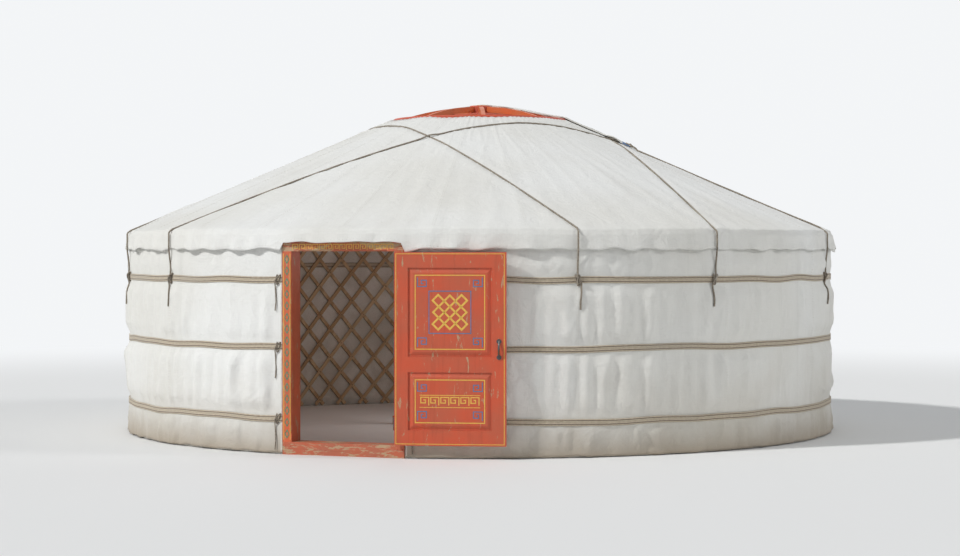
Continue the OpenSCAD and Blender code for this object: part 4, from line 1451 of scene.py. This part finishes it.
# widths of the painted lines, and how far they stand out and reach into the wood
lineSettings = {"thin": 0.0045, "fine": 0.005, "hook": 0.0055, "frame": 0.006, "blueHook": 0.0065,
                "field": 0.007, "key": 0.0075, "knot": 0.014, "relief": 0.0011, "sunk": 0.0004}
leafHalf = doorHalf - leafSettings["leafGap"]


def onLeaf(x, y, z):
    hinge = doorHalf + leafSettings["hingeGap"]
    turn = math.radians(leafSettings["turned"])
    dx, dy = x - hinge, y + leafSettings["hingeOut"]
    return Vector((hinge + dx * math.cos(turn) - dy * math.sin(turn),
                   -frameFront - leafSettings["hingeOut"] + dx * math.sin(turn) + dy * math.cos(turn), z))


def boxPath(half, low, high):
    return [(-half, low), (half, low), (half, high), (-half, high)]


def diamondPath(x, y, halfWide, halfHigh):
    return [(x, y - halfHigh), (x + halfWide, y), (x, y + halfHigh), (x - halfWide, y)]


def keyHook(x, y, size, flip=1, drop=1):
    steps = ((0, 0), (0, 4), (4, 4), (4, 1.2), (1.7, 1.2), (1.7, 2.7), (2.7, 2.7))
    return [(x + flip * a * size / 4, y + drop * b * size / 4) for a, b in steps]


def knotLoops(x, y, unit):
    # three long loops set at right angles, turned to stand on a corner
    half = unit * math.sqrt(0.5)
    return [[(x + half * (a * p - b * q), y + half * (a * p + b * q))
             for a, b in ((-1, -1), (1, -1), (1, 1), (-1, 1))]
            for p, q in ((2.6, 0.5), (0.5, 2.6), (1.5, 1.5))]


def leafOrnament():
    yellow, blue = [], []
    rail, border, inset, edge = (leafSettings[key] for key in ("rail", "border", "inset", "edge"))
    fieldHalf = leafHalf - leafSettings["stile"] - border
    splitZ = leafLow + (leafTop - leafLow) * leafSettings["split"]
    fields = ((splitZ + rail / 2 + border, leafTop - rail - border),
              (leafLow + rail + border, splitZ - rail / 2 - border))
    upperMiddle, lowerMiddle = (sum(field) / 2 for field in fields)
    frameHalf, size = leafSettings["knotFrame"], leafSettings["keys"]
    near = inset + leafSettings["hookInset"]
    knotFrame = boxPath(frameHalf, upperMiddle - frameHalf, upperMiddle + frameHalf)
    for place in (lambda u, v, out: onLeaf(u, leafSettings["thick"] + out, v),
                  lambda u, v, out: onLeaf(u, -out, v)):
        for low, high in fields:
            field = boxPath(fieldHalf - inset, low + inset, high - inset)
            yellow.append((field, lineSettings["field"], True, place))
            for flip in (-1, 1):
                for drop, y in ((1, low + near), (-1, high - near)):
                    hook = keyHook(flip * (near - fieldHalf), y, leafSettings["hook"], flip, drop)
                    blue.append((hook, lineSettings["blueHook"], False, place))
        for loop in knotLoops(0, upperMiddle, leafSettings["knot"]):
            yellow.append((loop, lineSettings["knot"], True, place))
        blue.append((knotFrame, lineSettings["frame"], True, place))
        for k in range(-3, 3):
            start = k * leafSettings["keyPitch"] + leafSettings["keyStart"]
            hook = keyHook(start, lowerMiddle - size / 2, size)
            yellow.append((hook, lineSettings["key"], False, place))
        across, up = leafSettings["keyBand"]
        for z in (lowerMiddle - up, lowerMiddle + up):
            yellow.append(([(-across, z), (across, z)], lineSettings["fine"], False, place))
        outline = boxPath(leafHalf - edge, leafLow + edge, leafTop - edge)
        yellow.append((outline, lineSettings["fine"], True, place))
    return yellow, blue


frameSettings = {"hook": 0.040, "pitch": 0.052, "diamonds": 16, "diamond": (0.016, 0.028), "edge": 0.010,
                 "hookFrom": (0.005, 0.010), "clear": 0.015}


def frameOrnament():
    yellow, blue = [], []
    pitch, edge = frameSettings["pitch"], frameSettings["edge"]
    count = int(2 * doorHalf / pitch)
    along, up = frameSettings["hookFrom"]

    def place(u, v, out):
        return Vector((u, -frameFront - out, v))
    for k in range(count):
        hook = keyHook((k - count / 2) * pitch + along, lintelLow + up, frameSettings["hook"])
        yellow.append((hook, lineSettings["hook"], False, place))
    low, high = sillTop + frameSettings["clear"], lintelLow - frameSettings["clear"]
    for side in (-1, 1):
        for u in (doorHalf + edge, jambOut - edge):
            yellow.append(([(side * u, low), (side * u, high)], lineSettings["fine"], False, place))
        for k in range(frameSettings["diamonds"]):
            z = low + (high - low) * (k + 0.5) / frameSettings["diamonds"]
            diamond = diamondPath(side * (doorHalf + jambOut) / 2, z, *frameSettings["diamond"])
            blue.append((diamond, lineSettings["field"], True, place))
    return yellow, blue


crownSettings = {"hooks": 66, "hook": 0.042, "diamonds": 72, "diamond": (0.022, 0.012),
                 "hubRings": (0.070, 0.046), "hubDish": (0.006, 0.083), "hooksUp": 0.018, "border": 0.008}


def crownOrnament():
    yellow, green = [], []
    middle = (rimIn + crownR) / 2

    def inside(u, v, out):
        return polar(u / rimIn, rimIn - out, v)

    def above(u, v, out):
        return polar(u / middle, middle + v, rimTop + out)

    def onHub(u, v, out):
        fall, reach = crownSettings["hubDish"]
        return polar(u, v, hubTop - fall * v / reach + out)
    pitch = math.tau * rimIn / crownSettings["hooks"]
    size, low, border = crownSettings["hook"], rimLow + crownSettings["hooksUp"], crownSettings["border"]
    for k in range(crownSettings["hooks"]):
        yellow.append((keyHook(k * pitch, low, size), lineSettings["hook"], False, inside))
    for v in (low - border, low + size + border):
        ring = [(math.tau * rimIn * k / 96, v) for k in range(97)]
        yellow.append((ring, lineSettings["thin"], False, inside))
    for k in range(crownSettings["diamonds"]):
        u = math.tau * middle * k / crownSettings["diamonds"]
        diamond = diamondPath(u, 0, *crownSettings["diamond"])
        green.append((diamond, lineSettings["fine"], True, above))
    for r in crownSettings["hubRings"]:
        ring = [(math.tau * k / 48, r) for k in range(49)]
        yellow.append((ring, lineSettings["fine"], False, onHub))
    return yellow, green


# bands: place along the shaft, height, and colour 0 or 1
bandSettings = {"poles": ((0.055, 0.014, 0), (0.100, 0.040, 1), (0.145, 0.014, 0)),
                "posts": ((0.16, 0.020, 0), (1.02, 0.014, 0), (1.07, 0.046, 1), (1.12, 0.014, 0),
                          (2.02, 0.020, 0)),
                "sides": 8, "thick": 0.0009, "socketUp": 0.045, "tipR": 0.012, "footR": 0.020,
                "poleEnd": 2.810, "shaftShare": 82 / 128}


def sleeve(middle, way, radius, high, turned=0.0):
    # a painted band round a shaft: four rings that close on themselves
    side = way.orthogonal().normalized()
    across = way.cross(side)
    sides, thick, verts = bandSettings["sides"], bandSettings["thick"], []
    for along, out in ((-0.5, -0.001), (-0.46, thick), (0.46, thick), (0.5, -0.001)):
        for k in range(sides):
            turn = math.tau * k / sides + turned
            around = side * math.cos(turn) + across * math.sin(turn)
            verts.append(middle + way * along * high + around * (radius + out))
    return verts, ringFaces(4, sides, closed=True)


def shaftBands():
    bodies = ([], [])
    tipR, growth = bandSettings["tipR"], (bandSettings["footR"] - bandSettings["tipR"])
    doorPoles = [((i + 0.5) / 6 - 0.5) * 2 * doorEdge(latticeIn) for i in range(6)]
    for at in headBearings + doorPoles:
        way = polar(at, -math.cos(slope), math.sin(slope))
        for along, high, kind in bandSettings["poles"]:
            reach = along * math.cos(slope)
            middle = polar(at, crownR + reach, rimLow + bandSettings["socketUp"] - reach * math.tan(slope))
            radius = tipR + growth * reach / (bandSettings["poleEnd"] - crownR)
            bodies[kind].append(sleeve(middle, way, radius, high))
    shaftR = (highOf["post_left"].x - lowOf["post_left"].x) / 2 * bandSettings["shaftShare"]
    cornerR, turned = shaftR / math.cos(math.pi / 8), math.pi / 8
    for side in (-1, 1):
        for z, high, kind in bandSettings["posts"]:
            middle = Vector((side * (crownR - rimWide / 2), 0, z))
            bodies[kind].append(sleeve(middle, Vector((0, 0, 1)), cornerR, high, turned))
    for name, parts, mat in (("bandsYellow", bodies[0], linePaint), ("bandsGreen", bodies[1], leafPaint)):
        dress(joinedBodies(name, parts, isSmooth=False), "pole_paint", mat=mat)


shaftBands()
for ornament, slot, lineName, markName, markPaint in (
        (crownOrnament, "crown_paint", "crownHooks", "crownDiamonds", leafPaint),
        (leafOrnament, "door_wood", "leafLines", "leafHooks", skyPaint),
        (frameOrnament, "door_wood", "frameLines", "frameDiamonds", leafPaint)):
    lines, marks = ornament()
    paintPiece(lineName, lines, linePaint, slot)
    paintPiece(markName, marks, markPaint, slot)

# studs sit beside the hinges and pegs on the jambs; a peg's along is a share of the jamb's width
studSettings = {"along": (0.018, 0.046), "up": (-0.020, 0.020), "fromEnds": 0.150, "out": 0.004,
                "knob": {"size": 0.0055, "flatness": 0.6, "unevenness": 0.05, "sides": 10.0}}
pegSettings = {"along": (0.22, 0.78), "belowSill": 0.030, "overDoor": 0.062,
               "knob": {"size": 0.0075, "flatness": 0.35, "unevenness": 0.05, "sides": 10.0}}
frontWay = Vector((0, -1, 0))
studEnds = sillTop + studSettings["fromEnds"], lintelLow - studSettings["fromEnds"]
pegLevels = sillTop - pegSettings["belowSill"], lintelLow + pegSettings["overDoor"]
hingeX = doorHalf + leafSettings["hingeGap"]
studSpots = [(Vector((hingeX + along, -frameFront - studSettings["out"], level + up)), frontWay)
             for level in (studEnds[0], (sillTop + lintelLow) / 2, studEnds[1])
             for along in studSettings["along"] for up in studSettings["up"]]
pegSpots = [(Vector((side * (doorHalf + (jambOut - doorHalf) * along), -frameFront, z)), frontWay)
            for side in (-1, 1) for along in pegSettings["along"] for z in pegLevels]
knobPiece("hingeStuds", studSpots, forgedIron, "iron", **studSettings["knob"])
knobPiece("framePegs", pegSpots, sillPaint, "door_wood", **pegSettings["knob"])
print("door painted and studded")


pipingSettings = {"radius": 0.009, "sides": 8, "rows": 60, "ends": (0.010, 0.10), "fromEdge": 0.012,
                  "in": 0.004, "play": 0.006, "pressed": 0.9, "beltWidth": 0.05}


def edgePiping(side):
    # at the free edge of the wall canvas, beside the doorway
    low, high = pipingSettings["ends"]
    levels = np.linspace(clothLow + low, lintelLow + high, pipingSettings["rows"])
    pressed, wide = pipingSettings["pressed"], pipingSettings["beltWidth"]
    free = np.prod([1 - pressed * hump(levels - z, wide) for z in beltZ], axis=0)
    at = side * (doorEdge(wallR) + pipingSettings["fromEdge"] / wallR)
    base, play = wallR - pipingSettings["in"], pipingSettings["play"]
    return tubeBody([polar(at, base + play * t, z) for t, z in zip(free, levels)],
                    pipingSettings["radius"], pipingSettings["sides"])


dress(joinedBodies("edgePiping", [edgePiping(-1), edgePiping(1)]), "canvas", mat=rawCloth)
print("edges piped")


# stage, lights and camera

stageSettings = {"floorRadius": 60.0, "floor": (0.80, 0.80, 0.79, 1.0), "fadeFrom": 7.0, "fadeTo": 16.0,
                 "backdrop": (0.90, 0.915, 0.93, 1.0), "sky": (0.93, 0.96, 1.0, 1.0), "skyStrength": 0.40}
viewSettings = {"azimuth": -20.0, "distance": 18.0, "height": 1.45, "aim": (0.0, 0.0, 1.22), "lens": 82.0}
# kind, power, softness, turn and place
lightSettings = {"keyLight": ("SUN", 2.15, 4.0, (52, 0, -42), (0.0, 0.0, 0.0)),
                 "fillLight": ("SUN", 0.65, 12.0, (64, 0, 100), (0.0, 0.0, 0.0)),
                 "roomLight": ("POINT", 28.0, 0.45, (0, 0, 0), (0.0, 0.0, 1.75))}


def backdropMix(tree, share, plain, kind, end):
    # the backdrop's own colour where the camera, gloss or glass sees it, and the plain shader elsewhere
    seen = node(tree, "ShaderNodeLightPath", give=None)
    inShine = calc("MAXIMUM", seen["Is Glossy Ray"], seen["Is Transmission Ray"])
    shown = calc("MAXIMUM", seen["Is Camera Ray"], inShine)
    glow = node(tree, kind, {"Color": stageSettings["backdrop"], "Strength": 1.0})
    factor = share * shown if share else shown
    mixed = node(tree, "ShaderNodeMixShader", {0: factor, 1: Field(plain.outputs[0]), 2: glow})
    fill(tree, tree.nodes[end].inputs, {"Surface": mixed})


def makeStage():
    edge = [polar(math.tau * k / 96, stageSettings["floorRadius"], 0) for k in range(96)]
    floor = meshObject("studioFloor", edge, [range(96)])
    mat, place = material("studioFloor", 0.9, {"Base Color": stageSettings["floor"]})
    away = node(place.tree, "ShaderNodeVectorMath", {0: place}, "Value", operation="LENGTH")
    backdropMix(place.tree, ramp(away, stageSettings["fadeFrom"], stageSettings["fadeTo"]),
                place.tree.nodes["Principled BSDF"], "ShaderNodeEmission", "Material Output")
    useMaterial(floor, mat)


def makeWorld():
    world = bpy.data.worlds.new("studioWorld")
    world.use_nodes = True
    bpy.context.scene.world = world
    sky = world.node_tree.nodes["Background"]
    fill(world.node_tree, sky.inputs,
         {"Color": stageSettings["sky"], "Strength": stageSettings["skyStrength"]})
    backdropMix(world.node_tree, None, sky, "ShaderNodeBackground", "World Output")


def makeLamps():
    for name, (kind, power, softness, turn, place) in lightSettings.items():
        lamp = bpy.data.lights.new(name, kind)
        lamp.energy = power
        if kind == "SUN":
            lamp.angle = math.radians(softness)
        else:
            lamp.shadow_soft_size = softness
        obj = newObject(name, lamp)
        obj.rotation_euler = [math.radians(v) for v in turn]
        obj.location = place


def makeCamera():
    lens = bpy.data.cameras.new("photoView")
    lens.lens = viewSettings["lens"]
    lens.clip_end = 300
    obj = newObject("photoView", lens)
    spot = polar(math.radians(-viewSettings["azimuth"]), viewSettings["distance"], viewSettings["height"])
    obj.location = spot
    obj.rotation_euler = (Vector(viewSettings["aim"]) - spot).to_track_quat("-Z", "Y").to_euler()
    bpy.context.scene.camera = obj


makeStage()
makeWorld()
makeLamps()
makeCamera()
bpy.context.scene.view_settings.view_transform = "Standard"
print("stage, lights and camera made")
